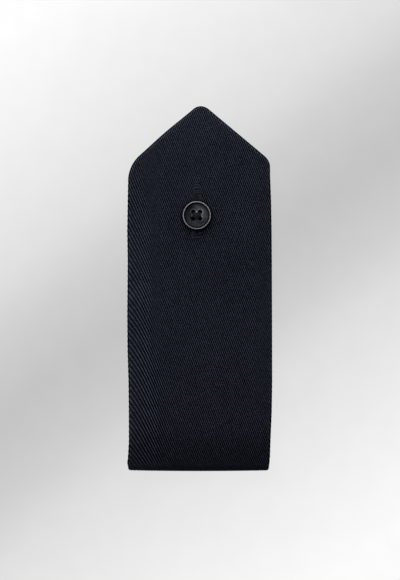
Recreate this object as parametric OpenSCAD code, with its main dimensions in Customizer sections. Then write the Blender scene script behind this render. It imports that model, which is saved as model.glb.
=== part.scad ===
// Pointed cloth shoulder strap of a uniform, folded into a loop and closed by a four-hole button.
// Millimetres. It lies on its under strap with its face up: +Y runs to the point, +Z out of the face.

/* [Face] */
// Length of the face, from the fold to the point
face_length = 146; // [140:1:152]
// Width of the face where it is widest
face_width = 58; // [54:1:62]
// Thickness of the doubled and interlined cloth
cloth_t = 1.8; // [1.5:0.1:2]
// Sideways place of the point, to the right of the middle
point_x = 0.5; // [-1:0.1:1]
// Length that the rounding takes off the sharp point
point_trim = 1.45; // [0.8:0.05:2]
// Drop from the point to the left shoulder corner
left_drop = 23.7; // [20:0.1:27]
// Drop from the point to the right shoulder corner
right_drop = 21.9; // [20:0.1:27]
// How far the left slanting edge bows out
left_bow = 0.45; // [0:0.05:0.8]
// Radius of the left shoulder corner
left_shoulder_r = 14; // [4:0.5:16]
// Radius of the right shoulder corner
right_shoulder_r = 6; // [4:0.5:16]
// How far the left side falls away
left_fall = 0.8; // [0:0.1:0.9]
// Width of the strip that falls away on the left
left_fall_w = 12; // [6:1:16]
// How far the right side falls away
right_fall = 0.3; // [0:0.1:0.8]
// Width of the strip that falls away on the right
right_fall_w = 5; // [3:1:12]

/* [Loop] */
// Radius of the fold at the middle of the cloth
fold_r = 2.7; // [2.4:0.1:3]
// Slope of the face where it leaves the fold, in degrees
belly_slope = 13; // [10:0.5:14]
// Radius of the belly above the fold
belly_r = 80; // [70:5:100]
// Slope of the face from the belly down to the button, in degrees
fall_slope = 4.5; // [4:0.25:6]
// Radius where that slope levels out
level_r = 120; // [60:10:150]
// Height of the button's centre above the fold
button_y = 102.2; // [100:0.1:105]
// Sideways place of the button and the buttonhole
button_x = -1.1; // [-2:0.1:2]
// Gap between the two straps at the button
button_gap = 1.2; // [1.2:0.1:1.6]
// Height above the fold where the face starts to droop
droop_start = 117; // [115:1:118]
// Drop of the point below the level part of the face
droop = 2.3; // [0.5:0.1:2.6]
// Length of the under strap, from the fold to its end
under_length = 117; // [112:1:118]
// How far the foot bows out in the middle
foot_bow = 0.4; // [0:0.1:0.8]
// How much the under strap is narrower on each side
under_inset = 1.2; // [0.5:0.1:4]
// Radius of the under strap's corners
under_corner_r = 4; // [2:0.5:8]

/* [Buttonhole] */
// Length of the sewn buttonhole, end to end
hole_length = 22.8; // [18:0.2:26]
// Width of the sewn buttonhole
hole_width = 4; // [3:0.2:5]
// Length of the narrow end of its upper tack
neck_length = 2.8; // [2:0.2:3.4]
// Width of that narrow end
neck_width = 2; // [1.6:0.2:2.4]
// Length of the sewn part below the button's centre
hole_below = 9.1; // [8:0.1:11]
// Width of the cut
cut_width = 0.6; // [0.4:0.1:0.8]
// Height of the sewing above the cloth
sewing_t = 0.3; // [0.2:0.05:0.4]

/* [Button] */
// Diameter of the button
button_d = 11.4; // [10.2:0.1:12.6]
// Thickness of the button at its rim
button_t = 2.6; // [2.2:0.1:3]
// Radius of the rounded rim
rim_r = 0.42; // [0.35:0.01:0.5]
// Depth of the well below the rim
well_depth = 0.95; // [0.6:0.05:1.2]
// Diameter of the flat pad at the middle of the well
pad_d = 5.6; // [5:0.1:6.4]
// Diameter of a thread hole
thread_hole_d = 1.75; // [1.5:0.05:1.9]
// Spacing of the thread holes
thread_hole_pitch = 2.7; // [2.5:0.05:2.9]
// Length of the thread shank between cloth and button
shank_length = 0.75; // [0.7:0.05:1]

/* [Hidden] */

cloth_colour = [0.10, 0.11, 0.14];
sewing_colour = [0.09, 0.10, 0.13];
button_colour = [0.30, 0.31, 0.32];
thread_colour = [0.08, 0.085, 0.11];

// Gap between pieces that lie on each other, and round the sewing's inner edge
piece_gap = 0.04;
cut_margin = 0.1;
// Share of the sewing's width that its end bars take beyond the cut
bar_share = 0.33;
// Eye of the cut round the shank, the hole through the under strap and the dimple behind it
eye_d = 2.3;
under_hole_d = 1.9;
dimple_d = 5.4;
dimple_depth = 0.55;
// Thread: crossed bars, legs through the button, pad under the button, shank and back stitch
thread_d = 0.8;
bar_step = 0.18;
leg_d = 0.92;
leg_rise = 0.05;
under_pad_t = 0.25;
under_pad_d = 5.1;
shank_d = 1.7;
back_stitch_d = 4.6;
back_stitch_t = 0.35;
back_stitch_lift = 0.08;
// Button: base as a share of its radius, and the step from the rim down to the well
base_share = 0.72;
step_w = 0.25;
step_h = 0.2;
// Lengths over which the under strap narrows and the foot's bow fades
narrow_length = 12;
bow_length = 10;

// Columns: height above the fold, how far the left side is short of the widest, and the right side
side_rows = [
    [0, 0.6, 1.4],
    [3, 0.1, 1.1],
    [6, 0.4, 0.85],
    [12, 0.75, 0.7],
    [24, 0.75, 0.2],
    [36, 0.6, 0],
    [48, 0.2, 0],
    [62, 0.05, 0],
    [84, 0.2, 0.05],
    [96, 0, 0.15],
    [108, 0.2, 0.35],
    [118, 0.4, 0.75],
];
left_short = [for (row = side_rows) [row[0], row[1]]];
right_short = [for (row = side_rows) [row[0], row[2]]];

// Steps of the mesh
roll_angles = [24, 46, 68, 90];
flat_parts = 8;
tip_angles = [0 : 15 : 75];
slant_steps = 5;
corner_steps = 10;
face_step = 5;
belly_steps = 12;
fold_steps = 12;
under_places = [3, 6, 10, 14, 27, 40, 50, 60, 76, 92];
end_angles = [0 : 18 : 72];
end_places = [0.1, 0.035];

// Inset of the first and last ring from the cloth's ends, and the most of a ring that one rolled edge takes
end_inset = 0.02;
roll_most = 0.4;
// How far a cutting solid reaches past what it cuts
past = 0.5;

LEFT = -1;
RIGHT = 1;
edge_r = cloth_t / 2;
base_y = -face_length / 2;
apex = face_length + point_trim;

// Half width of the straight part of the face, on one side
function half_width(v, side) =
    face_width / 2 - lookup(v, side == LEFT ? left_short : right_short);

// Where the slanting edge of the point starts and how steep it is, on one side
function shoulder_v(side) = face_length - (side == LEFT ? left_drop : right_drop);
function shoulder_r(side) = side == LEFT ? left_shoulder_r : right_shoulder_r;
function shoulder_q(side) = half_width(shoulder_v(side), side);
function slant(side) =
    atan2(apex - shoulder_v(side), shoulder_q(side) - side * point_x);
function point_r(side) = point_trim / (1 / cos(slant(side)) - 1);
function corner_start(side) =
    shoulder_v(side) - shoulder_r(side) * tan((90 - slant(side)) / 2);
function corner_end(side) = corner_start(side) + shoulder_r(side) * cos(slant(side));
function tip_start(side) = face_length - point_r(side) * (1 - cos(slant(side)));

// How far the slanting edge of one side bows out at height v
function bow(v, side) =
    let (share = (v - corner_end(side)) / (tip_start(side) - corner_end(side)))
    side == LEFT ? left_bow * pow(sin(180 * share), 2) : 0;

// [distance of the face's edge from the middle, cosine of its slant] at height v
function face_edge(v, side) =
    v <= corner_start(side) ? [half_width(v, side), 1] :
    v <= corner_end(side) ?
        let (r = shoulder_r(side), c = sqrt(1 - pow((v - corner_start(side)) / r, 2)))
        [shoulder_q(side) - r + r * c, c] :
    v <= tip_start(side) ?
        [side * point_x + (apex - v) / tan(slant(side)) + bow(v, side), sin(slant(side))] :
        let (r = point_r(side), c = sqrt(1 - pow((v - face_length + r) / r, 2)))
        [side * point_x + r * c, c];

// Distance of a point of the face from its edge on one side
function face_depth(x, v, side) =
    v > tip_start(side) ?
        point_r(side) - norm([x - point_x, v - face_length + point_r(side)]) :
        (face_edge(v, side)[0] - side * x) * face_edge(v, side)[1];

// The same two for the under strap, which narrows away from the fold
function under_edge(v, side) =
    let (
        straight = half_width(v, side) - under_inset * min(1, v / narrow_length),
        r = under_corner_r,
        c = sqrt(1 - pow(max(0, v - under_length + r) / r, 2))
    )
    [straight - r + r * c, c];
function under_depth(x, v, side) =
    min(
        (under_edge(v, side)[0] - side * x) * under_edge(v, side)[1],
        under_length - v
    );

// Middle line of the face, as [height, slope] at height v above the fold: belly, slope, level part, droop
fold_v = edge_r + fold_r;
belly_z = cloth_t / 2 + fold_r * (1 + cos(belly_slope)) + belly_r * (1 - cos(belly_slope));
belly_v = fold_v - fold_r * sin(belly_slope) + belly_r * sin(belly_slope);
level_z = cloth_t + button_gap + cloth_t / 2;
slope_v = belly_v + belly_r * sin(fall_slope);
slope_z = belly_z - belly_r * (1 - cos(fall_slope));
slope_end_z = level_z + level_r * (1 - cos(fall_slope));
slope_end_v = slope_v + (slope_z - slope_end_z) / tan(fall_slope);
level_v = slope_end_v + level_r * sin(fall_slope);
droop_length = face_length - droop_start;
droop_r = (pow(droop_length, 2) + pow(droop, 2)) / (2 * droop);

function arc_line(v, top_v, top_z, r) =
    let (slope = -asin((v - top_v) / r)) [top_z - r * (1 - cos(slope)), slope];
function face_line(v) =
    v <= slope_v ? arc_line(v, belly_v, belly_z, belly_r) :
    v <= slope_end_v ? [slope_z - (v - slope_v) * tan(fall_slope), -fall_slope] :
    v <= level_v ? arc_line(v, level_v, level_z, -level_r) :
    v <= droop_start ? [level_z, 0] :
    arc_line(v, droop_start, level_z, droop_r);

// How far the foot's sides stand back from its middle
function foot_rise(x, y) =
    foot_bow * pow(2 * x / face_width, 2) * pow(max(0, 1 - (y - base_y) / bow_length), 2);

// How far the face falls away towards its sides
function fall(x) =
    left_fall * pow(max(0, 1 - (x + face_width / 2) / left_fall_w), 2)
    + right_fall * pow(max(0, 1 - (face_width / 2 - x) / right_fall_w), 2);

// Sideways places of a ring's points, closer together where the edges roll over
function ring_places(left, right) =
    let (
        l = -left[0],
        r = right[0],
        roll_l = min(edge_r / max(left[1], 0.01), roll_most * (r - l)),
        roll_r = min(edge_r / max(right[1], 0.01), roll_most * (r - l)),
        inner = r - roll_r - l - roll_l
    )
    concat(
        [for (a = roll_angles) l + roll_l * (1 - cos(a))],
        [for (k = [1 : flat_parts - 1]) l + roll_l + inner * k / flat_parts],
        [for (k = [1 : len(roll_angles)])
            r - roll_r * (1 - cos(roll_angles[len(roll_angles) - k]))]
    );

// Half the thickness at a distance from the edge
function half_thickness(depth) =
    edge_r * sqrt(1 - pow(1 - min(1, max(0, depth) / edge_r), 2));

// A ring of points round the strap: out along the outer face from left to right, back along the inner one
function ring(y, z, heading, places, ends, halves) =
    let (
        normal = [-sin(heading), cos(heading)],
        sag = max(0, cos(heading)),
        place = function (x, n)
            let (lift = n - sag * fall(x))
            [x, y + lift * normal[0] + foot_rise(x, y), z + lift * normal[1]],
        count = len(places)
    )
    concat(
        [place(ends[0], 0)],
        [for (k = [0 : count - 1]) place(places[k], halves[k])],
        [place(ends[1], 0)],
        [for (k = [1 : count]) place(places[count - k], -halves[count - k])]
    );

function face_ring(v) =
    let (
        left = face_edge(v, LEFT),
        right = face_edge(v, RIGHT),
        line = face_line(v),
        places = ring_places(left, right),
        halves = [for (x = places)
            half_thickness(min(face_depth(x, v, LEFT), face_depth(x, v, RIGHT)))]
    )
    ring(base_y + v, line[0], line[1], places, [-left[0], right[0]], halves);

function fold_ring(heading) =
    let (
        v = fold_v - fold_r * sin(heading),
        left = under_edge(v, LEFT),
        right = under_edge(v, RIGHT),
        share = heading / 180,
        l = -left[0] * share - face_edge(v, LEFT)[0] * (1 - share),
        r = right[0] * share + face_edge(v, RIGHT)[0] * (1 - share),
        places = ring_places([-l, 1], [r, 1]),
        halves = [for (x = places) half_thickness(min(x - l, r - x))]
    )
    ring(base_y + v, edge_r + fold_r * (1 + cos(heading)), heading, places, [l, r], halves);

function under_ring(v) =
    let (
        left = under_edge(v, LEFT),
        right = under_edge(v, RIGHT),
        places = ring_places(left, right),
        halves = [for (x = places)
            half_thickness(min(under_depth(x, v, LEFT), under_depth(x, v, RIGHT)))]
    )
    ring(base_y + v, edge_r, 180, places, [-left[0], right[0]], halves);

// Heights of the rings, from the point down the face and from the fold to the under strap's end
tip_from = min(tip_start(LEFT), tip_start(RIGHT));
corners_from = min(corner_start(LEFT), corner_start(RIGHT));
corners_to = max(corner_end(LEFT), corner_end(RIGHT));
belly_from = fold_v - fold_r * sin(belly_slope);
first_v = face_length - end_inset;
face_heights = concat(
    [for (a = tip_angles) first_v - (first_v - tip_from) * (1 - cos(a))],
    [for (k = [0 : slant_steps - 1]) tip_from - (tip_from - corners_to) * k / slant_steps],
    [for (k = [0 : corner_steps - 1])
        corners_to - (corners_to - corners_from) * k / corner_steps],
    [for (v = [corners_from : -face_step : slope_v + 1]) v],
    [for (k = [1 : belly_steps]) slope_v - (slope_v - belly_from) * k / belly_steps]
);
under_heights = concat(
    [for (v = under_places) fold_v + v],
    [under_length - under_corner_r * 1.5],
    [for (a = end_angles) under_length - under_corner_r * (1 - sin(a))],
    [for (s = end_places) under_length - s],
    [under_length - end_inset]
);

rings = concat(
    [for (v = face_heights) face_ring(v)],
    [for (k = [1 : fold_steps - 1]) fold_ring(belly_slope + (180 - belly_slope) * k / fold_steps)],
    [fold_ring(180)],
    [for (v = under_heights) under_ring(v)]
);
ring_size = len(rings[0]);
last_ring = len(rings) - 1;
first_cap = [for (j = [ring_size - 1 : -1 : 0]) j];
last_cap = [for (j = [0 : ring_size - 1]) last_ring * ring_size + j];
ring_faces = [for (i = [0 : last_ring - 1], j = [0 : ring_size - 1])
    let (
        here = i * ring_size,
        next = here + ring_size,
        k = (j + 1) % ring_size
    )
    each [[here + j, here + k, next + k], [here + j, next + k, next + j]]];

button_v = base_y + button_y;
cloth_top = level_z + edge_r;
button_base = cloth_top + shank_length;
pad_z = button_base + button_t - well_depth;

// The sewn buttonhole's outline, a slot with round ends, drawn round the button's centre
module slot(length, width, below) {
    union() {
        translate([-width / 2, -below + width / 2]) square([width, length - width]);
        translate([0, -below + width / 2]) circle(d = width, $fn = 40);
        translate([0, length - below - width / 2]) circle(d = width, $fn = 40);
    }
}

// The cut inside the sewing, which ends below the tack's neck, with an eye where the shank holds it open
module cut_shape(margin = 0) {
    bar = hole_width * bar_share;
    slot(hole_length - neck_length - 2 * bar, cut_width + 2 * margin, hole_below - bar);
    circle(d = eye_d + 2 * margin, $fn = 48);
}

// The sewing's outline: a slot with a narrow neck above it, which starts inside the slot
module sewing_shape() {
    slot(hole_length - neck_length, hole_width, hole_below);
    slot(hole_length - hole_width, neck_width, hole_below - hole_width);
}

// Looped cloth strap: pointed face, fold and under strap
module strap() {
    color(cloth_colour)
    difference() {
        polyhedron(
            points = [for (r = rings) each r],
            faces = concat([first_cap], ring_faces, [last_cap]),
            convexity = 6
        );
        translate([button_x, button_v, level_z - cloth_t])
            linear_extrude(height = 2 * cloth_t) cut_shape();
        translate([button_x, button_v, -past])
            cylinder(d = under_hole_d, h = cloth_t + 2 * past, $fn = 48);
        translate([button_x, button_v, -past])
            cylinder(d = dimple_d, h = past + dimple_depth, $fn = 64);
    }
}

// Raised thread work round the cut
module buttonhole_sewing() {
    color(sewing_colour)
    translate([button_x, button_v, cloth_top + piece_gap])
        linear_extrude(height = sewing_t)
            difference() {
                sewing_shape();
                cut_shape(margin = cut_margin);
            }
}

// The four places of the thread holes
module at_holes() {
    for (side = [-1, 1], end = [-1, 1])
        translate([side * thread_hole_pitch / 2, end * thread_hole_pitch / 2, 0]) children();
}

// Half of the button's section: flat base, curved flank, rounded rim, sloping well and flat pad
module button_section() {
    radius = button_d / 2;
    rim_x = radius - rim_r;
    rim_z = button_t - rim_r;
    base_x = radius * base_share;
    well_x = rim_x - rim_r;
    well_z = rim_z - step_h / 2;
    polygon([
        [0, 0],
        [base_x, 0],
        for (a = [15 : 15 : 75]) [base_x + (radius - base_x) * sin(a), rim_z * (1 - cos(a))],
        for (a = [0 : 15 : 165]) [rim_x + rim_r * cos(a), rim_z + rim_r * sin(a)],
        [well_x, well_z],
        [well_x - step_w, well_z - step_h],
        [pad_d / 2, button_t - well_depth],
        [0, button_t - well_depth],
    ]);
}

// Four-hole button with a rim
module button() {
    color(button_colour)
    translate([button_x, button_v, button_base])
        difference() {
            rotate_extrude($fn = 96) button_section();
            at_holes()
                translate([0, 0, -past]) cylinder(d = thread_hole_d, h = button_t + 2 * past, $fn = 32);
        }
}

// Two bars of thread that cross, one a little above the other, each with round ends
module thread_cross(height) {
    reach = thread_hole_pitch / sqrt(2);
    for (k = [0, 1])
        rotate([0, 0, 45 + 90 * k])
            translate([0, 0, height + k * bar_step]) {
                translate([-reach, 0, 0]) rotate([0, 90, 0]) cylinder(d = thread_d, h = 2 * reach, $fn = 24);
                for (end = [-1, 1]) translate([end * reach, 0, 0]) sphere(d = thread_d, $fn = 24);
            }
}

// Sewing thread: crossed on the pad, down the holes, padded and wound into a shank, crossed again behind
module button_thread() {
    cross_z = pad_z + piece_gap + thread_d / 2;
    under_z = button_base - piece_gap - under_pad_t;
    color(thread_colour)
    translate([button_x, button_v, 0])
        union() {
            thread_cross(cross_z);
            at_holes()
                translate([0, 0, under_z]) cylinder(d = leg_d, h = cross_z + leg_rise - under_z, $fn = 24);
            translate([0, 0, under_z])
                cylinder(d = under_pad_d, h = under_pad_t, $fn = 40);
            translate([0, 0, back_stitch_lift])
                cylinder(d = shank_d, h = under_z + under_pad_t - back_stitch_lift, $fn = 40);
            translate([0, 0, back_stitch_lift]) cylinder(d = back_stitch_d, h = back_stitch_t, $fn = 40);
        }
}

strap();
buttonhole_sewing();
button();
button_thread();
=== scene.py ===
"""A pointed cloth shoulder strap with its buttonhole and button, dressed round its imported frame.

Lengths are metres. The strap lies on its under strap with its face up: +Y runs to the point, +Z out
of the face, and the fold is at the foot. Every shape is a surface worked out with numpy from named
sizes. The twill's ribs, the stitches, the button and its thread are real geometry, and the finer
yarn and fibre come from the materials.
"""

from __future__ import annotations

import logging
import math
from collections.abc import Iterable, Mapping, Sequence
from dataclasses import dataclass, field
from enum import Enum
from functools import reduce

import bpy
import numpy as np
from numpy.typing import NDArray
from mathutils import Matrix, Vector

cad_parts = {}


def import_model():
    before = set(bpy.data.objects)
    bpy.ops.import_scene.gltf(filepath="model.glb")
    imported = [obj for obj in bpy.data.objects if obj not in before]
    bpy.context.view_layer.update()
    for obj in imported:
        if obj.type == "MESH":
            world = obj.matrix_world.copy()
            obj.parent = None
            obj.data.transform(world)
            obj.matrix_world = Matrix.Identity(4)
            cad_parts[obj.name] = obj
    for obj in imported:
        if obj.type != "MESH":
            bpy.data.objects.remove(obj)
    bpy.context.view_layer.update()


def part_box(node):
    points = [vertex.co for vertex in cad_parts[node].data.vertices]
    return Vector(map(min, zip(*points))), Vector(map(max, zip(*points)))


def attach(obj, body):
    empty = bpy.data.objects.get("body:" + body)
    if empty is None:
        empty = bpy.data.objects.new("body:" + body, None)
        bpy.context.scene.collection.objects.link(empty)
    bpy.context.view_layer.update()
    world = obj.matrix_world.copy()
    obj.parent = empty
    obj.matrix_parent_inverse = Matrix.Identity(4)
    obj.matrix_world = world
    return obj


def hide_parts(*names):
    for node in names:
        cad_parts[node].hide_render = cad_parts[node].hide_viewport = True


Array = NDArray[np.float64]
Indices = NDArray[np.int64]
Object = bpy.types.Object
Material = bpy.types.Material
NodeTree = bpy.types.NodeTree
Socket = bpy.types.NodeSocket
Outputs = bpy.types.bpy_prop_collection
Value = Socket | float | tuple[float, ...]
Pair = tuple[float, float]
Triple = tuple[float, float, float]
Table = tuple[tuple[float, ...], ...]
Colour = tuple[float, float, float, float]

MM = 0.001
QUARTER = math.pi / 2
# Directions towards the point and out of the face, and a small turn off an upright path
POINTWARDS = np.array([0.0, 1.0, 0.0])
UPWARDS = np.array([0.0, 0.0, 1.0])
NUDGE = 0.01
# Faces that meet at more than this angle keep a crisp edge
CRISP_ANGLE = math.radians(70)

log = logging.getLogger("shoulder_strap")


class Side(Enum):
    """A side of the strap as its face is seen with the point up; the value is the sign of X there."""

    LEFT = -1
    RIGHT = 1

    @property
    def index(self) -> int:
        """Place of the side in a pair that holds left, then right."""
        return (self.value + 1) // 2


class Way(Enum):
    """A way over the strap; the value is the number of its coordinate."""

    ACROSS = 0
    ALONG = 1


class Part(Enum):
    """A stretch of the loop of cloth."""

    FACE = 0
    FOLD = 1
    UNDER = 2


@dataclass
class Shell:
    """A surface of triangles with named UV maps, each a pair for each point.

    Attributes:
        points: One row for each point.
        triangles: One row of three point numbers for each triangle, facing outwards.
        maps: The UV maps by name.
    """

    points: Array
    triangles: Indices
    maps: dict[str, Array] = field(default_factory=dict)

    @staticmethod
    def joined(shells: Sequence[Shell]) -> Shell:
        """Puts several shells into one. A shell without one of the first's maps has zeros there.

        Args:
            shells: The shells to join.

        Returns:
            One shell that holds them all.
        """
        starts = np.cumsum([0] + [len(shell.points) for shell in shells[:-1]])
        return Shell(
            np.concatenate([shell.points for shell in shells]),
            np.concatenate([shell.triangles + start for shell, start in zip(shells, starts)]),
            {
                name: np.concatenate([shell.maps.get(name, 0 * shell.points[:, :2]) for shell in shells])
                for name in shells[0].maps
            },
        )

    def trimmed(self) -> Shell:
        """Leaves out the points that no triangle uses.

        Returns:
            The same surface without them.
        """
        used, triangles = np.unique(self.triangles, return_inverse=True)
        maps = {name: pairs[used] for name, pairs in self.maps.items()}
        return Shell(self.points[used], triangles.reshape(-1, 3), maps)

    def to_object(self, name: str) -> Object:
        """Makes a smooth-shaded Blender object of the shell.

        Args:
            name: The object's name.

        Returns:
            The object, at the origin and linked to the scene.
        """
        mesh = bpy.data.meshes.new(name)
        mesh.vertices.add(len(self.points))
        mesh.vertices.foreach_set("co", self.points.ravel())
        mesh.loops.add(self.triangles.size)
        mesh.loops.foreach_set("vertex_index", self.triangles.ravel())
        mesh.polygons.add(len(self.triangles))
        mesh.polygons.foreach_set("loop_start", np.arange(0, self.triangles.size, 3))
        mesh.polygons.foreach_set("use_smooth", np.ones(len(self.triangles), bool))
        for map_name, pairs in self.maps.items():
            layer = mesh.uv_layers.new(name=map_name)
            layer.uv.foreach_set("vector", pairs[self.triangles.ravel()].ravel())
        mesh.update(calc_edges=True)
        mesh.validate()
        made = bpy.data.objects.new(name, mesh)
        bpy.context.scene.collection.objects.link(made)
        return made


def grid_triangles(ids: Indices, flip: bool = False) -> Indices:
    """Triangles over a grid of point numbers, without those that have shrunk to a line.

    Each cell of the grid gives two triangles that share the diagonal from its first corner.

    Args:
        ids: Point numbers by row and column; the same number may stand at several places.
        flip: Whether the triangles face the other way.

    Returns:
        The triangles.
    """
    a, b = ids[:-1, :-1].ravel(), ids[:-1, 1:].ravel()
    c, d = ids[1:, 1:].ravel(), ids[1:, :-1].ravel()
    found = np.concatenate([np.stack([a, b, c], 1), np.stack([a, c, d], 1)])
    kept = (found[:, 0] != found[:, 1]) & (found[:, 1] != found[:, 2]) & (found[:, 0] != found[:, 2])
    found = found[kept]
    return found[:, ::-1] if flip else found


def closed_rings(points: Array) -> Shell:
    """A closed shell over rings of points, the first and the last of which shrink to a point.

    Args:
        points: Points by ring, from the lowest, and by place round it, anticlockwise from above.

    Returns:
        The shell.
    """
    ids = np.arange(points[..., 0].size).reshape(points.shape[:2])
    ids[0], ids[-1] = ids[0, 0], ids[-1, 0]
    ids = np.concatenate([ids, ids[:, :1]], 1)
    return Shell(points.reshape(-1, 3), grid_triangles(ids)).trimmed()


def prism(outline: Array, low: float, high: float) -> Shell:
    """A closed upright prism over a convex outline.

    Args:
        outline: The outline's points, anticlockwise.
        low: Height of the base.
        high: Height of the top.

    Returns:
        The shell.
    """
    middle = 0 * outline + outline.mean(0)
    rings = [(middle, low), (outline, low), (outline, high), (middle, high)]
    return closed_rings(np.array([np.column_stack([flat, np.full(len(flat), z)]) for flat, z in rings]))


def revolved(profile: Array, segments: int, centre: Array) -> Shell:
    """Turns a profile round an upright axis.

    A point at radius r and height z of the profile goes to (r cos a, r sin a, z) for each angle a.
    The first and last points lie on the axis and close the shell.

    Args:
        profile: Radius and height of each point, from the lowest on the axis to the highest.
        segments: Number of angles.
        centre: Where the axis meets height zero.

    Returns:
        The closed shell.
    """
    angles = np.linspace(0, 2 * math.pi, segments, endpoint=False)
    radius, height = profile[:, :1], profile[:, 1:]
    points = np.stack([radius * np.cos(angles), radius * np.sin(angles), height + 0 * angles], -1)
    return closed_rings(points + centre)


def tubes(
    paths: Array,
    radii: Array | float,
    sides: int,
    up: Array,
    ply: tuple[int, float, float] = (0, 0, 0),
    light_gains: Array | float = 0.0,
) -> Shell:
    """Threads along many paths at once, each a tube with closed ends.

    Round each point of a path stands a ring across the path. Its radius at an angle a is
    radius (1 + depth cos(plies (a - twist length))), so that a thread of several plies shows them wound.

    Args:
        paths: Points by path and place along it.
        radii: Radius at each of those points, or one for each path or for all.
        sides: Number of points in a ring.
        up: A direction that no path runs along.
        ply: Number of plies, depth of their grooves as a share, and turns in radians for each metre.
        light_gains: Half of each thread's gain in painted light or shade, between -0.5 and 0.5.

    Returns:
        One shell of all the tubes. Its UV holds the place along a thread in millimetres, and its number
        plus its gain in painted light.
    """
    plies, depth, twist = ply
    tangent = np.gradient(paths, axis=1)
    tangent /= np.linalg.norm(tangent, axis=2, keepdims=True)
    across = np.cross(tangent, up)
    across /= np.linalg.norm(across, axis=2, keepdims=True)
    over = np.cross(tangent, across)
    steps = np.linalg.norm(np.diff(paths, axis=1), axis=2)
    length = np.concatenate([np.zeros((len(paths), 1)), np.cumsum(steps, 1)], 1)[..., None]
    angle = np.linspace(0, 2 * math.pi, sides, endpoint=False)
    groove = 1 + depth * np.cos(plies * (angle - twist * length))
    reach = np.broadcast_to(radii, paths.shape[:2])[..., None] * groove
    ring = (
        paths[:, :, None]
        + (reach * np.cos(angle))[..., None] * across[:, :, None]
        + (reach * np.sin(angle))[..., None] * over[:, :, None]
    )
    count, places = paths.shape[:2]
    ids = np.arange(count * places * sides).reshape(count, places, sides)
    after = np.roll(ids, -1, axis=2)
    a, b, c, d = ids[:, :-1], after[:, :-1], after[:, 1:], ids[:, 1:]
    poles = ids.size + np.arange(2 * count).reshape(2, count, 1) + 0 * ids[None, :, 0]
    ends = [(poles[0], after[:, 0], ids[:, 0]), (poles[1], ids[:, -1], after[:, -1])]
    corners = [(a, b, c), (a, c, d), *ends]
    triangles = np.concatenate([np.stack(three, -1).reshape(-1, 3) for three in corners])
    points = np.concatenate([ring.reshape(-1, 3), paths[:, 0], paths[:, -1]])
    along = np.concatenate([(length + 0 * angle).ravel(), length[:, 0, 0], length[:, -1, 0]]) / MM
    number = np.arange(count) + light_gains
    numbers = np.concatenate([np.repeat(number, places * sides), number, number])
    return Shell(points, triangles, {"strand": np.stack([along, numbers], 1)})


@dataclass(frozen=True)
class Corner:
    """One side of the point: the shoulder's rounding, the slanting edge and the tip's rounding.

    Attributes:
        half: Half width of the strap at the shoulder's sharp corner.
        slant: Angle of the slanting edge above the horizontal.
        radius: Radius of the shoulder's rounding.
        start: Height where that rounding starts.
        end: Height where it ends.
        tip_radius: Radius of the tip's rounding.
        tip_start: Height where the tip's rounding starts.
    """

    half: float
    slant: float
    radius: float
    start: float
    end: float
    tip_radius: float
    tip_start: float


@dataclass(frozen=True)
class Rows:
    """Cross-sections of the loop: from the point down the face, round the fold, along the under strap.

    Attributes:
        part: Value of the stretch that each row is on.
        height: Height above the fold where the outline is read.
        y: Place of the cloth's middle line.
        z: Height of the cloth's middle line.
        heading: Angle by which the cloth's outward direction leans away from +Z.
        reach: Distance of each edge from the middle, left then right.
        cosine: Cosine of each edge's slant, left then right.
        length: Place along the outer side of the cloth, equal to Y at the point and falling from there.
    """

    part: Indices
    height: Array
    y: Array
    z: Array
    heading: Array
    reach: Array
    cosine: Array
    length: Array

    def on(self, part: Part) -> Array:
        """Whether each row is on a stretch of the loop, as a column."""
        return self.part[:, None] == part.value


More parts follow.
